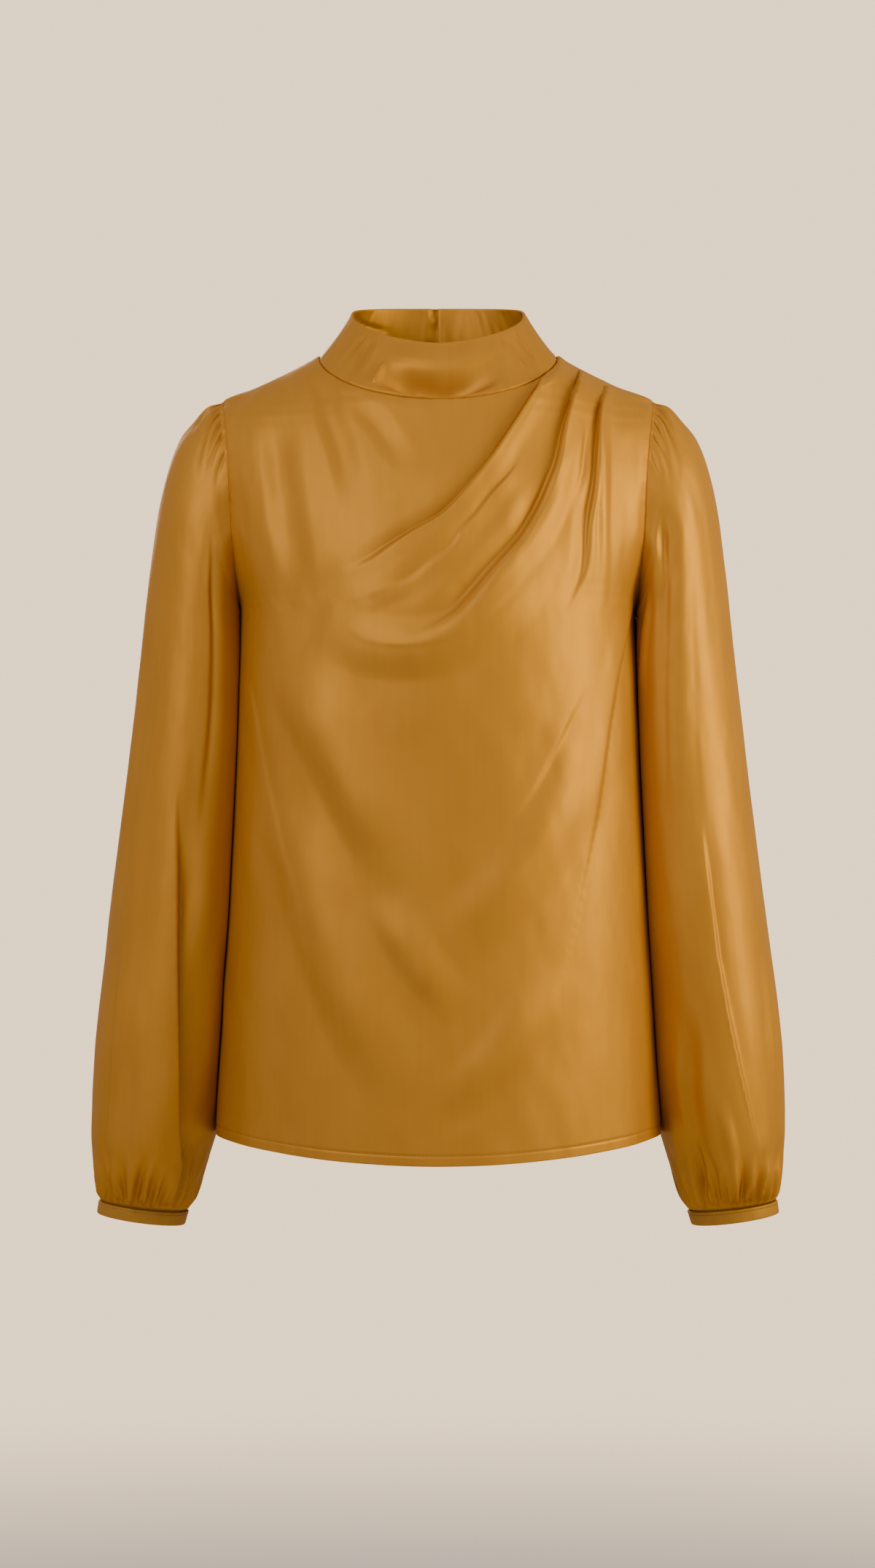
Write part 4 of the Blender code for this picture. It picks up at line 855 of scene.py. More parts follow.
def section_point(table, along, angle):
    """A point of a tube: along is the length down its outer side, and angle goes round it."""
    lengths = lengths_of(table)
    read = lambda name: curve(lengths, [getattr(row, name) for row in table], along)
    outer_x, outer_z, inner_x, inner_z, front_y, back_y = (read(name) for name in Section._fields)
    x = (outer_x + inner_x) / 2 + (outer_x - inner_x) / 2 * np.cos(angle)
    z = (outer_z + inner_z) / 2 + (outer_z - inner_z) / 2 * np.cos(angle)
    y = (front_y + back_y) / 2 - (back_y - front_y) / 2 * np.sin(angle)
    return np.stack([x, y, z], axis=-1)


def body_side(y, z):
    """How far out the body's side is at this depth and height, below the underarm."""
    width = np.zeros(np.broadcast(y, z).shape)
    for side, ahead in (("front", y < 0), ("back", y >= 0)):
        share = np.clip(np.abs(y) / level(side + "_depth", z), 0, 1)
        cosine = share ** (1 / level(side + "_round", z))
        width = np.where(ahead, level("edge_x", z) * np.sqrt(1 - cosine**2), width)
    return width


def clear_of_body(points):
    """Presses a sleeve flat where it would enter the body's side."""
    x, y, z = np.moveaxis(points, -1, 0)
    wall = body_side(y, z) + SLEEVE_CLEARANCE
    low = smooth_step((UNDERARM + 0.001 - z) / 0.002) * (z > HEM_SIDE - 0.02)
    pressed = (x + wall + np.sqrt((x - wall) ** 2 + 0.002**2)) / 2
    return np.stack([x + (pressed - x) * low, y, z], axis=-1)


def wrapped(angle):
    return (angle + math.pi) % (2 * math.pi) - math.pi


def gather_lift(gathers, angle, away, radius):
    """How far gathers press the cloth in, away being the distance from the seam that holds them.

    Where two meet, the deeper one shows.
    """
    press = np.zeros(angle.shape)
    for gather in gathers:
        near = away < gather.length
        share = np.clip(away[near] / gather.length, 0, 1)
        centre = math.radians(gather.angle) + math.radians(gather.lean) * share
        apart = wrapped(angle[near] - centre) * radius[near]
        width = gather.width * (0.80 + 1.9 * share)
        soft = 0.0003 + 0.0022 * share
        shape = np.clip(1 - (np.sqrt(apart**2 + soft**2) - soft) / width, 0, 1) ** 1.4
        fade = (1 - smooth_step(share)) * (1 + 0.4 * fall_off(share / 0.25))
        press[near] = np.maximum(press[near], gather.depth * fade * shape)
    return -press


def sleeve_ways(along, angle):
    """The sleeve's form at a grid of places, the way straight out of it and its mean radius there."""
    length = lengths_of(SLEEVE)[-1]
    to_armhole = armhole_point(angle) - section_point(SLEEVE, 0 * along, angle)
    blend = lambda at: to_armhole * (1 - smooth_step(at / ARMHOLE_FADE))[..., None]
    base = section_point(SLEEVE, along, angle) + blend(along)
    around = np.empty_like(base)
    around[:, 1:-1] = base[:, 2:] - base[:, :-2]
    around[:, 0] = around[:, -1] = base[:, 1] - base[:, -2]
    ahead = section_point(SLEEVE, np.minimum(along + 0.002, length), angle)
    behind = section_point(SLEEVE, np.maximum(along - 0.002, 0), angle)
    down = ahead - behind + blend(along + 0.002) - blend(along - 0.002)
    out = np.cross(around, down)
    out /= np.linalg.norm(out, axis=-1, keepdims=True)
    place = lambda degrees: section_point(SLEEVE, along, 0 * angle + math.radians(degrees))
    width = np.linalg.norm(place(0) - place(180), axis=-1)
    depth = np.linalg.norm(place(90) - place(-90), axis=-1)
    return base, out, (width + depth) / 4


def rear_gathers(seed):
    """Gathers across the hidden back half of a cuff, as uneven as those in front."""
    rng = np.random.default_rng(seed)
    return [
        Gather(
            184 + 176 * (i + 0.5 + rng.uniform(-0.28, 0.28)) / BACK_GATHERS,
            rng.uniform(-7, 7),
            rng.choice([0.024, 0.036, 0.055, 0.075]),
            rng.uniform(0.0034, 0.0060),
            rng.uniform(0.0025, 0.0034),
        )
        for i in range(BACK_GATHERS)
    ]


def cuff_gather_lift(side, seed, angle, above, radius):
    """The puff above the cuff's seam, between valleys that stay near the seam's depth."""
    front = RIGHT_CUFF_GATHERS if side == "right" else LEFT_CUFF_GATHERS
    facing = 0.20 + 0.80 * np.abs(np.sin(angle))
    puff = 0.0048 * facing * smooth_step(above / 0.009) * fall_off(np.clip(above - 0.009, 0, None) / 0.034)
    valleys = -3.4 * facing * gather_lift((*front, *rear_gathers(seed)), angle, above, radius)
    room = 0.0003 + puff + 0.26 * above
    return puff - room * (1 - np.exp(-valleys / room))


def head_gather_lift(angle, along, radius):
    """The gathered and slightly puffed head of a sleeve."""
    brow = smooth_step(along / 0.0050) * (0.45 + 0.45 * smooth_step(np.abs(np.sin(angle)) / 0.5))
    puff = 0.0026 * smooth_step(along / 0.012) * fall_off(along / 0.034) * fall_off(wrapped(angle) / 1.3)
    return brow * gather_lift(HEAD_GATHERS, angle, along, radius) + puff


def sleeve_surface(side, angle, row):
    """Points of the left or right sleeve's cloth, in a grid of rows along and columns round it.

    Rows before the armhole and past the cuff's seam are the allowances turned inside.
    """
    length = lengths_of(SLEEVE)[-1]
    along = np.clip(row, 0, length)
    above = length - along
    base, out, radius = sleeve_ways(along, angle)
    seed = 60 if side == "left" else 80
    folds = LEFT_SLEEVE_FOLDS if side == "left" else RIGHT_SLEEVE_FOLDS
    rolled = lambda points: [(math.radians(a) * SLEEVE_ROLL, -b) for a, b in points]
    turned = np.mod(angle, 2 * math.pi)
    lift, _ = fold_lift(folds, turned.ravel() * SLEEVE_ROLL, -along.ravel(), rolled)
    lift = lift.reshape(along.shape) * smooth_step(above / 0.020) * smooth_step(along / 0.020)
    lift += cuff_gather_lift(side, seed, angle, above, radius)
    lift += head_gather_lift(angle, along, radius)
    flat_u = angle * SLEEVE_ROLL
    uneven = (
        0.00060 * swells(flat_u, along, 0.028, 0.120, seed + 2)
        + 0.00030 * swells(flat_u, along, 0.012, 0.050, seed + 3)
        + 0.00010 * swells(flat_u, along, 0.006, 0.018, seed + 4)
    )
    lift += uneven * smooth_step(along / 0.015) * smooth_step(above / 0.010)
    lift += puckers(angle * 0.09, along, seed + 5)
    to_seam = (math.pi - np.abs(wrapped(angle))) * radius
    lift -= 0.5 * seam_dip(along) + seam_dip(above) + 0.7 * seam_dip(to_seam)
    lift -= np.abs(row - along) * (row > along)
    # Under the arm the sleeve lies against the body, with no slit between them.
    hug = smooth_step((-np.cos(angle) - 0.05) / 0.45) * smooth_step(along / 0.060)
    hug = hug * fall_off(np.clip(along - 0.40, 0, None) / 0.08)
    lift = np.where(lift < 0, lift * (1 - hug), lift) + 0.0026 * hug
    # The armhole's allowance passes behind the panels' edges.
    behind_edge = np.stack([row - along, 0 * row, 0 * row], axis=-1) * (row < along)[..., None]
    points = clear_of_body(base + out * lift[..., None]) + behind_edge
    if side == "right":
        points = points * (-1, 1, 1)
    return points, np.stack([angle * radius, -along], axis=-1)


def make_sleeve(side):
    length = lengths_of(SLEEVE)[-1]
    columns = np.linspace(-1, 1, 241)
    rows = np.concatenate([
        [-0.0030, -0.0010, 0, 0.0005, 0.0010, 0.0016, 0.0023],
        np.linspace(0.0033, 0.060, 44),
        np.linspace(0.0620, 0.500, 150),
        np.linspace(0.5025, length - 0.040, 44),
        np.linspace(length - 0.0390, length - 0.0030, 40),
        length - np.array([0.0023, 0.0016, 0.0010, 0.0005, 0, -0.0010, -0.0025]),
    ])
    bm = sheet_grid(columns, rows)
    places = places_of(bm)
    order = np.lexsort((places[:, 0], places[:, 1]))
    turn, along = np.meshgrid(columns * math.pi, rows)
    crowd = 0.42 * (1 - smooth_step(along / 0.20))
    points, flat = sleeve_surface(side, turn - crowd * np.sin(turn), along)
    placed, chart = np.empty((len(order), 3)), np.empty((len(order), 2))
    placed[order], chart[order] = points.reshape(-1, 3), flat.reshape(-1, 2)
    if side == "right":
        bmesh.ops.reverse_faces(bm, faces=bm.faces)
    obj = piece(
        "sleeve_" + side + "_cloth", bm, satin_material("sleeve_" + side), "sleeve_" + side,
        points=placed, flat=chart, tube=True,
    )
    return obj


def cuff_profile(half):
    """From the seam down the outside, round the folded edge and up inside: length down, and wall."""
    length = lengths_of(CUFF)[-1]
    profile = [(0.0001, -0.0014), (0.0000, -0.0006), (0.0001, 0.0002), (0.0004, half * 0.8), (0.0009, half)]
    profile += [(along, half) for along in np.linspace(0.0016, length - 0.0012, 15)]
    profile += [
        (length - 0.0010 + 0.0010 * math.sin(a), half * math.cos(a))
        for a in np.linspace(0.15, math.pi - 0.15, 9)
    ]
    profile += [(along, -half) for along in np.linspace(length - 0.0014, 0.0012, 8)]
    return np.array(profile)


def cuff_out(beside):
    """The way out of a cuff, from the way round it."""
    out = np.cross(beside, (0.12, 0, -1.0))
    return out / np.linalg.norm(out, axis=-1, keepdims=True)


def make_cuff(side):
    """A cuff of two layers, its seam rolled in above and its lower edge folded round."""
    half = sizes().band_wall / 2
    profile = cuff_profile(half)
    bm = sheet_grid(np.linspace(-1, 1, 281), np.arange(len(profile), dtype=float))
    places = places_of(bm)
    angle, row = places[:, 0] * math.pi, places[:, 1].round().astype(int)
    along, out = profile[row, 0], profile[row, 1]
    normal = cuff_out(section_point(CUFF, along, angle + 0.01) - section_point(CUFF, along, angle - 0.01))
    seed = 40 if side == "left" else 50
    place = angle * CUFF_ROLL
    uneven = 0.00016 * swells(place, along, 0.006, 0.006, seed)
    uneven = uneven + 0.0003 * swells(place, along, 0.03, 0.02, seed + 1)
    groove = 0.00018 * fall_off((along - CUFF_STITCH) / 0.0009) * (out > 0)
    points = section_point(CUFF, along, angle) + normal * (out + uneven - groove)[:, None]
    if side == "right":
        points = points * (-1, 1, 1)
    else:
        bmesh.ops.reverse_faces(bm, faces=bm.faces)
    flat = np.stack([place, -along - 0.02 * (out < 0)], axis=-1)
    obj = piece(
        "cuff_" + side + "_cloth", bm, satin_material("cuff_" + side), "cuff_" + side,
        points=points, flat=flat, tube=True,
    )
    line = np.radians(np.arange(0, 360, 0.75))
    down = np.full(len(line), CUFF_STITCH)
    seat = section_point(CUFF, down, line)
    out_way = cuff_out(section_point(CUFF, down, line + 0.01) - seat)
    seat = seat + out_way * (half + 0.00005)
    if side == "right":
        seat, out_way = seat * (-1, 1, 1), out_way * (-1, 1, 1)
    stitch_run("cuff_" + side + "_stitching", [(seat, out_way)])
    return obj


# --- neck band --------------------------------------------------------------------------------------


def band_top(turn):
    """The band's upper edge: turn is 0 at centre front and 180 degrees at centre back."""
    ahead = np.cos(turn)
    depth = np.where(ahead > 0, BAND_FRONT, BAND_BACK)
    front_z = BAND_FRONT_Z + (BAND_SIDE_Z - BAND_FRONT_Z) * np.clip(1 - ahead, 0, 1) ** BAND_FRONT_POWER
    back_z = BAND_SIDE_Z + (BAND_BACK_Z - BAND_SIDE_Z) * np.abs(ahead) ** BAND_BACK_POWER
    z = np.where(ahead > 0, front_z, back_z)
    return np.stack([BAND_HALF_WIDTH * np.sin(turn), -depth * ahead, z], axis=-1)


def neckline_point(turn):
    x = NECK_HALF_WIDTH * NECKLINE_EASE * np.sin(turn)
    points = np.zeros((*turn.shape, 3))
    for side, here in (("front", np.cos(turn) >= 0), ("back", np.cos(turn) < 0)):
        z = neckline_z(side, x)
        points = np.where(here[..., None], panel_point(side, across_of(side, x, z), z), points)
    return points


# Folds of the neck band, by (place round it from centre front towards the wearer's left, minus the
# distance down from its upper edge).
BAND_FOLDS = (
    # The front sags over itself: a low crest, and under it a shaded hollow above the seam.
    Fold(((-0.054, -0.0180), (-0.030, -0.0165), (0.000, -0.0170), (0.030, -0.0165), (0.062, -0.0140)),
         0.0020, 0.010, 0.0020, 0.016, (0.006, 0.006), 0.35, 0.40),
    Fold(((-0.049, -0.0420), (-0.030, -0.0430), (0.000, -0.0440), (0.028, -0.0430), (0.050, -0.0380)),
         -0.0170, 0.008, -0.0170, 0.020, (0.004, 0.004), 0.34, 0.44),
    Fold(((-0.044, -0.0230), (-0.0465, -0.0330), (-0.0475, -0.0460)),
         -0.0004, 0.005, 0.0026, 0.007, (0.0016, 0.0016), 0.35, 0.05),
    Fold(((-0.062, -0.0060), (-0.066, -0.0240), (-0.064, -0.0460)),
         -0.0014, 0.007, -0.0012, 0.006, (0.003, 0.003), 0.3, 0.3),
    Fold(((-0.074, -0.0040), (-0.080, -0.0220), (-0.084, -0.0400)),
         0.0012, 0.007, -0.0010, 0.006, (0.003, 0.003), 0.3, 0.3),
    Fold(((-0.054, -0.0080), (-0.056, -0.0240), (-0.058, -0.0400)),
         0.0010, 0.005, 0.0010, 0.005, (0.003, 0.003), 0.3, 0.3),
    Fold(((0.046, -0.0060), (0.054, -0.0220), (0.058, -0.0360)),
         0.0010, 0.006, 0.0010, 0.006, (0.003, 0.003), 0.3, 0.3),
    Fold(((0.062, -0.0060), (0.068, -0.0240), (0.072, -0.0420)),
         0.0012, 0.007, -0.0012, 0.006, (0.003, 0.003), 0.3, 0.3),
    Fold(((0.078, -0.0040), (0.084, -0.0220), (0.088, -0.0400)),
         -0.0012, 0.007, 0.0012, 0.006, (0.003, 0.003), 0.3, 0.3),
    Fold(((-0.140, -0.0050), (-0.172, -0.0160), (-0.206, -0.0220)),
         0.0018, 0.006, -0.0018, 0.006, (0.003, 0.003), 0.25, 0.3),
    Fold(((-0.150, -0.0160), (-0.182, -0.0280), (-0.210, -0.0330)),
         0.0014, 0.006, -0.0016, 0.006, (0.003, 0.003), 0.25, 0.3),
)


def band_surface(turn, share, out):
    """Points of the neck band: share is 0 at its upper edge and 1 at the neckline, out across its wall."""
    top, seam = band_top(turn), neckline_point(turn)
    way = seam - top
    height = np.linalg.norm(way, axis=-1)
    outward = np.stack([np.sin(turn), -np.cos(turn), 0 * turn], axis=-1)
    edges = lambda at: band_top(at) + neckline_point(at)
    normal = np.cross(edges(turn + 0.01) - edges(turn - 0.01), -way)
    normal /= np.linalg.norm(normal, axis=-1, keepdims=True)
    lap = smooth_step((-turn - math.pi + OVERLAP_EASE) / OVERLAP_EASE)
    stand = lap * OVERLAP_STEP - BAND_FLARE * np.sin(math.pi * share)
    base = top + way * share[..., None] + outward * stand[..., None]
    place, down = turn * BAND_ROLL, share * height
    lift, _ = fold_lift(BAND_FOLDS, place.ravel(), -down.ravel())
    lift = lift.reshape(turn.shape) * smooth_step(down / 0.006)
    sides = 0.4 + smooth_step((np.abs(place) - 0.035) / 0.02)
    lift += smooth_step(down / 0.005) * (
        0.00045 * swells(place, down, 0.018, 0.030, 120)
        + 0.00018 * swells(place, down, 0.005, 0.020, 121) * sides
    )
    near_lap = fall_off((turn + math.pi - 0.10) / 0.16) * smooth_step(down / 0.002)
    lift += 0.0011 * near_lap * swells(place, down, 0.010, 0.0075, 122)
    lift += 0.00025 * swells(place, 0 * place, 0.004, 1, 123) * fall_off((1 - share) * height / 0.008)
    return base + normal * (lift + out)[..., None], height


def band_profile(half):
    """From the seam up the outside, over the edge and down inside: share of the height, and wall."""
    profile = [(1.0, half - 0.0016), (0.994, half - 0.0009), (0.986, half - 0.0003), (0.972, half)]
    profile += [(share, half) for share in np.linspace(0.955, 0.035, 40)]
    profile += [(0.022 * (1 - math.sin(a)), half * math.cos(a)) for a in np.linspace(0.1, math.pi - 0.1, 9)]
    profile += [(share, -half) for share in np.linspace(0.035, 1.0, 24)]
    return np.array(profile)


def make_neck_band():
    profile = band_profile(sizes().band_wall / 2)
    turns = np.linspace(-math.pi - OVERLAP, math.pi, 421)
    bm = sheet_grid(turns, np.arange(len(profile), dtype=float))
    places = places_of(bm)
    turn, row = places[:, 0], places[:, 1].round().astype(int)
    # Its two ends narrow to a closed fold.
    ends = np.minimum(turn - turns[0], turns[-1] - turn) * 0.06
    squeeze = np.sqrt(np.clip(1 - (1 - np.clip(ends / 0.0012, 0, 1)) ** 2, 0, 1))
    points, height = band_surface(turn, profile[row, 0], profile[row, 1] * squeeze)
    down = -(profile[row, 0] * height) - 0.06 * (profile[row, 1] < 0)
    flat = np.stack([turn * BAND_ROLL, down], axis=-1)
    obj = piece("neck_band_cloth", bm, satin_material("neck_band"), "neck_band", points=points, flat=flat)
    return obj


def make_button(name, height):
    """A small domed button covered in the same satin, on the overlap's outside."""
    turn, outside = np.array([-math.pi - OVERLAP + 0.11]), np.array([sizes().band_wall / 2])
    spots = np.array([
        band_surface(turn, np.array([share]), outside)[0][0] for share in np.linspace(0.05, 0.95, 40)
    ])
    at = lambda z: np.array([np.interp(-z, -spots[:, 2], spots[:, i]) for i in range(3)])
    high, low = at(height + BUTTON_RADIUS), at(height - BUTTON_RADIUS)
    seat = (high + low) / 2
    tilt = math.atan2(low[1] - high[1], high[2] - low[2])
    bm = bmesh.new()
    bmesh.ops.create_circle(bm, cap_ends=False, segments=48, radius=BUTTON_RADIUS * 0.90)
    bmesh.ops.translate(bm, vec=(0, 0, 0.0002), verts=bm.verts)
    edges = bm.edges[:]
    for size, z in BUTTON_DOME:
        made = bmesh.ops.extrude_edge_only(bm, edges=edges)["geom"]
        verts = [item for item in made if isinstance(item, bmesh.types.BMVert)]
        edges = [item for item in made if isinstance(item, bmesh.types.BMEdge)]
        for vert in verts:
            angle = math.atan2(vert.co.y, vert.co.x)
            pleat = 1 + 0.012 * math.sin(24 * angle) * (1 - z / BUTTON_THICKNESS)
            reach = BUTTON_RADIUS * size * pleat
            vert.co = (reach * math.cos(angle), reach * math.sin(angle), z)
    bmesh.ops.holes_fill(bm, edges=[edge for edge in bm.edges if edge.is_boundary], sides=0)
    bmesh.ops.recalc_face_normals(bm, faces=bm.faces)
    chart = bm.loops.layers.uv.new("pattern")
    for face in bm.faces:
        for loop in face.loops:
            loop[chart].uv = loop.vert.co.xy
    place = Matrix.Translation(Vector(seat)) @ Matrix.Rotation(-math.pi / 2 + tilt, 4, "X")
    bmesh.ops.transform(bm, matrix=place, verts=bm.verts)
    return piece(name + "_cover", bm, satin_material(name), name)


# --- stitching --------------------------------------------------------------------------------------


def stitch_run(name, lines):
    """Short raised stitches along lines of (points, ways out), all in one piece."""
    pitch, length, thread = sizes().stitch_pitch, sizes().stitch_length, sizes().thread
    lying = Matrix.Rotation(math.pi / 2, 4, "Y")
    shape = Matrix.Diagonal((length / 2, thread / 2, thread / 2.4, 1)) @ lying
    places = []
    for points, out in lines:
        travelled = np.concatenate([[0], np.cumsum(np.linalg.norm(np.diff(points, axis=0), axis=1))])
        for middle in np.arange(pitch / 2, travelled[-1] - pitch / 2, pitch):
            read = lambda at, table: Vector([np.interp(at, travelled, table[:, i]) for i in range(3)])
            start, end = read(middle - length / 2, points), read(middle + length / 2, points)
            way = (end - start).normalized()
            up = read(middle, out)
            up = (up - way * up.dot(way)).normalized()
            turn = Matrix((way, up.cross(way), up)).transposed().to_4x4()
            places.append(Matrix.Translation((start + end) / 2) @ turn @ shape)
    whole = bmesh.new()
    for i in range(0, len(places), 20):
        few = bmesh.new()
        for place in places[i : i + 20]:
            bmesh.ops.create_uvsphere(few, u_segments=6, v_segments=5, radius=1, matrix=place)
        mesh = bpy.data.meshes.new("few_stitches")
        few.to_mesh(mesh)
        few.free()
        whole.from_mesh(mesh)
        bpy.data.meshes.remove(mesh)
    return piece(name, whole, thread_material())


def make_hem_stitching():
    lines = []
    for side in ("front", "back"):
        across = np.linspace(-STITCH_REACH, STITCH_REACH, 900)
        z = hem_height(side, across) + sizes().stitch_height
        points, out = panel_surface(side, across, z)
        lines.append((points + out * STITCH_LIFT, out))
    return stitch_run("hem_stitching", lines)


# --- materials --------------------------------------------------------------------------------------


def weave_group():
    """Satin's weave and its uneven tone, from a flat pattern in metres."""
    group = bpy.data.node_groups.get("satin weave")
    if group:
        return group
    group = bpy.data.node_groups.new("satin weave", "ShaderNodeTree")
    face = group.interface
    face.new_socket("Pattern", in_out="INPUT", socket_type="NodeSocketVector")
    thread = face.new_socket("Thread", in_out="INPUT", socket_type="NodeSocketFloat")
    thread.default_value = 0.00042
    for name in ("Tone", "Gloss", "Height"):
        face.new_socket(name, in_out="OUTPUT", socket_type="NodeSocketFloat")
    nodes, links = group.nodes, group.links
    start, end = nodes.new("NodeGroupInput"), nodes.new("NodeGroupOutput")

    def noise(scale_u, scale_v, detail, rough=0.5):
        stretch = nodes.new("ShaderNodeMapping")
        stretch.inputs["Scale"].default_value = (scale_u, scale_v, 1)
        links.new(start.outputs["Pattern"], stretch.inputs["Vector"])
        node = nodes.new("ShaderNodeTexNoise")
        node.inputs["Scale"].default_value = 1.0
        node.inputs["Detail"].default_value = detail
        node.inputs["Roughness"].default_value = rough
        links.new(stretch.outputs["Vector"], node.inputs["Vector"])
        return node.outputs["Fac"]

    def math_node(operation, a, b):
        node = nodes.new("ShaderNodeMath")
        node.operation = operation
        for socket, value in zip(node.inputs, (a, b)):
            if isinstance(value, (int, float)):
                socket.default_value = value
            else:
                links.new(value, socket)
        return node.outputs[0]

    # Long warp floats, crossed by the weft a few threads apart.
    floats = noise(1700, 260, 1.0)
    weft = noise(420, 1500, 0.0)
    split = nodes.new("ShaderNodeSeparateXYZ")
    links.new(start.outputs["Pattern"], split.inputs[0])
    phase = math_node("MULTIPLY", split.outputs[0], 2 * math.pi)
    ribs = math_node("SINE", math_node("DIVIDE", phase, start.outputs["Thread"]), 0)
    height = math_node("ADD", math_node("MULTIPLY", floats, 0.7), math_node("MULTIPLY", weft, 0.25))
    height = math_node("ADD", height, math_node("MULTIPLY", ribs, 0.06))
    links.new(height, end.inputs["Height"])
    cloud = noise(22, 15, 3.0, 0.55)
    streak = noise(240, 12, 2.0)
    tone = math_node("ADD", math_node("MULTIPLY", cloud, 0.7), math_node("MULTIPLY", streak, 0.3))
    links.new(tone, end.inputs["Tone"])
    blotch = noise(60, 34, 3.0)
    gloss = math_node("ADD", math_node("MULTIPLY", blotch, 0.6), math_node("MULTIPLY", floats, 0.4))
    links.new(gloss, end.inputs["Gloss"])
    return group


def satin_material(name):
    """The mustard satin of one piece, glossy on its right side and duller on its wrong side."""
    material = bpy.data.materials.new(name + "_satin_cloth")
    material.use_nodes = True
    nodes, links = material.node_tree.nodes, material.node_tree.links
    shader = nodes["Principled BSDF"]
    shader.inputs["Metallic"].default_value = 0.42
    shader.inputs["Specular IOR Level"].default_value = 0.25
    shader.inputs["Specular Tint"].default_value = (1.0, 0.58, 0.04, 1)
    chart = nodes.new("ShaderNodeUVMap")
    chart.uv_map = "pattern"
    weave = nodes.new("ShaderNodeGroup")
    weave.node_tree = weave_group()
    links.new(chart.outputs["UV"], weave.inputs["Pattern"])

    def mix(factor, a, b):
        node = nodes.new("ShaderNodeMix")
        node.data_type = "RGBA"
        for socket, value in ((node.inputs[6], a), (node.inputs[7], b)):
            if isinstance(value, bpy.types.NodeSocket):
                links.new(value, socket)
            else:
                socket.default_value = (*value, 1)
        links.new(factor, node.inputs[0])
        return node.outputs[2]

    tone = nodes.new("ShaderNodeMapRange")
    tone.inputs["From Min"].default_value, tone.inputs["From Max"].default_value = 0.36, 0.64
    links.new(weave.outputs["Tone"], tone.inputs["Value"])
    right_side = mix(tone.outputs["Result"], tuple(colours().satin_deep), tuple(colours().satin))
    facing = nodes.new("ShaderNodeNewGeometry")
    links.new(
        mix(facing.outputs["Backfacing"], right_side, tuple(colours().reverse)), shader.inputs["Base Color"]
    )
    gloss = nodes.new("ShaderNodeMapRange")
    gloss.inputs["From Min"].default_value, gloss.inputs["From Max"].default_value = 0.3, 0.7
    gloss.inputs["To Min"].default_value, gloss.inputs["To Max"].default_value = 0.48, 0.52
    links.new(weave.outputs["Gloss"], gloss.inputs["Value"])
    dull = nodes.new("ShaderNodeMath")
    dull.operation = "MULTIPLY_ADD"
    dull.inputs[1].default_value = 0.08
    links.new(facing.outputs["Backfacing"], dull.inputs[0])
    links.new(gloss.outputs["Result"], dull.inputs[2])
    links.new(dull.outputs[0], shader.inputs["Roughness"])
    bump = nodes.new("ShaderNodeBump")
    bump.inputs["Strength"].default_value = 0.14
    bump.inputs["Distance"].default_value = 0.00012
    links.new(weave.outputs["Height"], bump.inputs["Height"])
    links.new(bump.outputs["Normal"], shader.inputs["Normal"])
    return material


def thread_material():
    """Polyester sewing thread, with its twist."""
    material = bpy.data.materials.get("sewing_thread")
    if material:
        return material
    material = bpy.data.materials.new("sewing_thread")
    material.use_nodes = True
    nodes, links = material.node_tree.nodes, material.node_tree.links
    shader = nodes["Principled BSDF"]
    shader.inputs["Roughness"].default_value = 0.5
    where = nodes.new("ShaderNodeTexCoord")
    twist = nodes.new("ShaderNodeTexNoise")
    twist.inputs["Scale"].default_value = 2600
    links.new(where.outputs["Object"], twist.inputs["Vector"])
    ramp = nodes.new("ShaderNodeMix")
    ramp.data_type = "RGBA"
    deep = [0.72 * c for c in colours().thread]
    ramp.inputs[6].default_value, ramp.inputs[7].default_value = (*deep, 1), (*colours().thread, 1)
    links.new(twist.outputs["Fac"], ramp.inputs[0])
    links.new(ramp.outputs[2], shader.inputs["Base Color"])
    bump = nodes.new("ShaderNodeBump")
    bump.inputs["Strength"].default_value, bump.inputs["Distance"].default_value = 0.4, 0.0001
    links.new(twist.outputs["Fac"], bump.inputs["Height"])
    links.new(bump.outputs["Normal"], shader.inputs["Normal"])
    return material


# --- stage ------------------------------------------------------------------------------------------


def make_floor(backdrop):
    """A pale floor that melts into the backdrop all round."""
    bm = bmesh.new()
    place = Matrix.Translation((0, 0, FLOOR_HEIGHT))
    bmesh.ops.create_circle(bm, cap_ends=True, segments=96, radius=FLOOR_RADIUS, matrix=place)
    mesh = bpy.data.meshes.new("studio_floor")
    bm.to_mesh(mesh)
    bm.free()
    floor = bpy.data.objects.new("studio_floor", mesh)
    bpy.context.scene.collection.objects.link(floor)
    material = bpy.data.materials.new("pale_floor")
    material.use_nodes = True
    nodes, links = material.node_tree.nodes, material.node_tree.links
    shader = nodes["Principled BSDF"]
    shader.inputs["Base Color"].default_value = FLOOR_COLOUR
    shader.inputs["Roughness"].default_value = 0.9
    shader.inputs["Specular IOR Level"].default_value = 0.1
    where = nodes.new("ShaderNodeTexCoord")
    distance = nodes.new("ShaderNodeVectorMath")
    distance.operation = "LENGTH"
    links.new(where.outputs["Object"], distance.inputs[0])
    fade = nodes.new("ShaderNodeMapRange")
    fade.interpolation_type = "SMOOTHSTEP"
    fade.inputs["From Min"].default_value, fade.inputs["From Max"].default_value = FLOOR_FADE
    links.new(distance.outputs["Value"], fade.inputs["Value"])
    glow = nodes.new("ShaderNodeEmission")
    glow.inputs["Color"].default_value = (*backdrop, 1)
    blend = nodes.new("ShaderNodeMixShader")
    # Its glow is only seen, so that it doesn't light the cloth from below.
    path, seen = nodes.new("ShaderNodeLightPath"), nodes.new("ShaderNodeMath")
    seen.operation = "MULTIPLY"
    links.new(fade.outputs["Result"], seen.inputs[0])
    links.new(path.outputs["Is Camera Ray"], seen.inputs[1])
    links.new(seen.outputs[0], blend.inputs[0])
    links.new(shader.outputs["BSDF"], blend.inputs[1])
    links.new(glow.outputs["Emission"], blend.inputs[2])
    links.new(blend.outputs["Shader"], nodes["Material Output"].inputs["Surface"])
    mesh.materials.append(material)


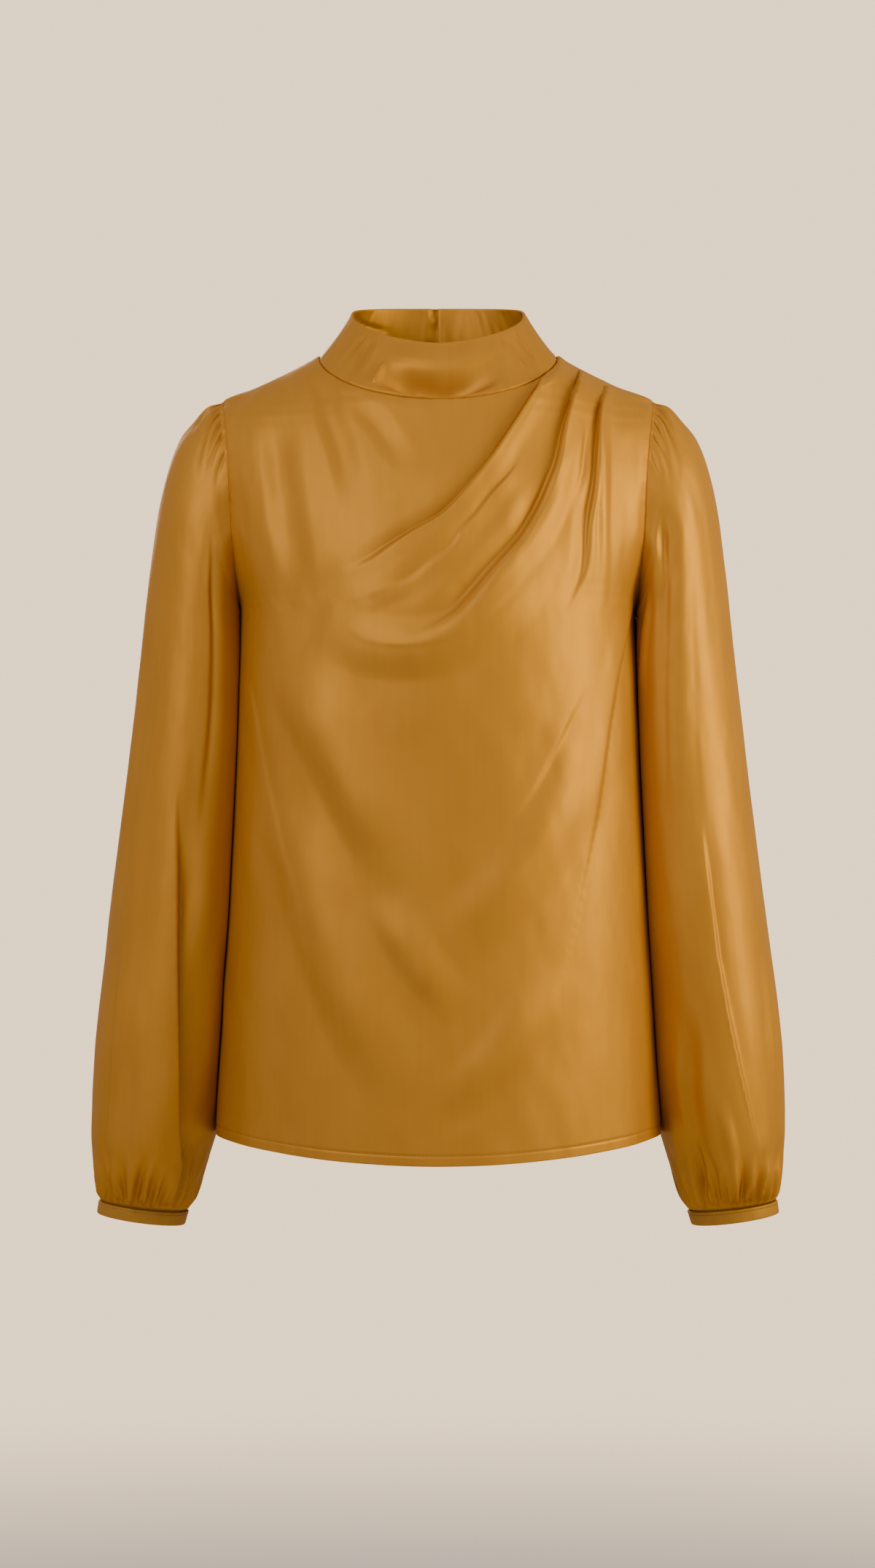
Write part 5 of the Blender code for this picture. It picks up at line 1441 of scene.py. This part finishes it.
def make_backdrop(backdrop):
    """A world that shows as the pale backdrop and gives a soft fill light."""
    world = bpy.data.worlds.new("studio")
    bpy.context.scene.world = world
    world.use_nodes = True
    nodes, links = world.node_tree.nodes, world.node_tree.links
    seen, fill = nodes["Background"], nodes.new("ShaderNodeBackground")
    seen.inputs["Color"].default_value = (*backdrop, 1)
    fill.inputs["Color"].default_value = FILL_COLOUR
    fill.inputs["Strength"].default_value = FILL_STRENGTH
    path, blend = nodes.new("ShaderNodeLightPath"), nodes.new("ShaderNodeMixShader")
    links.new(path.outputs["Is Camera Ray"], blend.inputs[0])
    links.new(fill.outputs["Background"], blend.inputs[1])
    links.new(seen.outputs["Background"], blend.inputs[2])
    links.new(blend.outputs["Shader"], nodes["World Output"].inputs["Surface"])


def make_soft_box(box):
    """A rectangular light that the camera doesn't see, turned to the blouse."""
    light = bpy.data.lights.new(box.name, "AREA")
    light.shape = "RECTANGLE"
    light.size, light.size_y = box.size
    light.energy, light.color = box.power, box.tint
    lamp = bpy.data.objects.new(box.name, light)
    bpy.context.scene.collection.objects.link(lamp)
    lamp.visible_camera = False
    lamp.location = box.place
    aim = Vector(LIGHT_TARGET) - Vector(box.place)
    lamp.rotation_euler = aim.to_track_quat("-Z", "Y").to_euler()


def make_camera():
    camera = bpy.data.cameras.new("camera")
    camera.lens, camera.sensor_width = CAMERA_LENS, CAMERA_SENSOR
    holder = bpy.data.objects.new("camera", camera)
    bpy.context.scene.collection.objects.link(holder)
    holder.location = CAMERA_PLACE
    holder.rotation_euler = (math.pi / 2, 0, 0)
    bpy.context.scene.camera = holder


def make_stage():
    """The studio round the blouse: floor, backdrop, soft lights and camera."""
    backdrop = tuple(colours().backdrop)
    make_floor(backdrop)
    make_backdrop(backdrop)
    for box in SOFT_BOXES:
        make_soft_box(box)
    make_camera()


# --- operators --------------------------------------------------------------------------------------


class BLOUSE_OT_stage(bpy.types.Operator):
    """Set up the pale floor, the soft studio lights and the camera"""

    bl_idname = "blouse.stage"
    bl_label = "Studio"

    def execute(self, context):
        make_stage()
        return {"FINISHED"}


class BLOUSE_OT_panels(bpy.types.Operator):
    """Sew the front with its pleats, and the back with its neck slit"""

    bl_idname = "blouse.panels"
    bl_label = "Front and Back"

    def execute(self, context):
        make_panel("front")
        make_panel("back")
        return {"FINISHED"}


class BLOUSE_OT_neck_band(bpy.types.Operator):
    """Sew the draped neck band"""

    bl_idname = "blouse.neck_band"
    bl_label = "Neck Band"

    def execute(self, context):
        make_neck_band()
        return {"FINISHED"}


class BLOUSE_OT_sleeves(bpy.types.Operator):
    """Sew both sleeves, gathered at the head and the cuff"""

    bl_idname = "blouse.sleeves"
    bl_label = "Sleeves"

    def execute(self, context):
        for side in ("left", "right"):
            make_sleeve(side)
        return {"FINISHED"}


class BLOUSE_OT_cuffs(bpy.types.Operator):
    """Sew both narrow cuffs with their edge stitching"""

    bl_idname = "blouse.cuffs"
    bl_label = "Cuffs"

    def execute(self, context):
        for side in ("left", "right"):
            make_cuff(side)
        return {"FINISHED"}


class BLOUSE_OT_buttons(bpy.types.Operator):
    """Cover the buttons of the back neck"""

    bl_idname = "blouse.buttons"
    bl_label = "Covered Buttons"

    def execute(self, context):
        for i, height in enumerate(BUTTON_HEIGHTS, start=1):
            make_button(f"neck_button_{i}", height)
        return {"FINISHED"}


class BLOUSE_OT_stitching(bpy.types.Operator):
    """Topstitch the curved hem"""

    bl_idname = "blouse.stitching"
    bl_label = "Hem Stitching"

    def execute(self, context):
        make_hem_stitching()
        return {"FINISHED"}


class BLOUSE_PT_pieces(bpy.types.Panel):
    """The blouse's pieces, sizes and colours"""

    bl_idname = "BLOUSE_PT_pieces"
    bl_label = "Draped Satin Blouse"
    bl_space_type = "VIEW_3D"
    bl_region_type = "UI"
    bl_category = "Blouse"

    def draw(self, context):
        layout = self.layout
        for operator in OPERATORS:
            layout.operator(operator.bl_idname)
        for group in (context.scene.blouse_sizes, context.scene.blouse_colours):
            box = layout.box()
            for name in group.bl_rna.properties.keys():
                if name not in ("rna_type", "name"):
                    box.prop(group, name)


OPERATORS = (
    BLOUSE_OT_stage,
    BLOUSE_OT_panels,
    BLOUSE_OT_neck_band,
    BLOUSE_OT_sleeves,
    BLOUSE_OT_cuffs,
    BLOUSE_OT_buttons,
    BLOUSE_OT_stitching,
)
CLASSES = (BlouseSizes, BlouseColours, *OPERATORS, BLOUSE_PT_pieces)


def register():
    for cls in CLASSES:
        bpy.utils.register_class(cls)
    bpy.types.Scene.blouse_sizes = bpy.props.PointerProperty(type=BlouseSizes)
    bpy.types.Scene.blouse_colours = bpy.props.PointerProperty(type=BlouseColours)


def unregister():
    del bpy.types.Scene.blouse_colours
    del bpy.types.Scene.blouse_sizes
    for cls in reversed(CLASSES):
        bpy.utils.unregister_class(cls)


def main():
    register()
    bpy.ops.blouse.stage()
    bpy.ops.blouse.panels()
    bpy.ops.blouse.neck_band()
    bpy.ops.blouse.sleeves()
    bpy.ops.blouse.cuffs()
    bpy.ops.blouse.buttons()
    bpy.ops.blouse.stitching()
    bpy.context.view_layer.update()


if __name__ == "__main__":
    main()
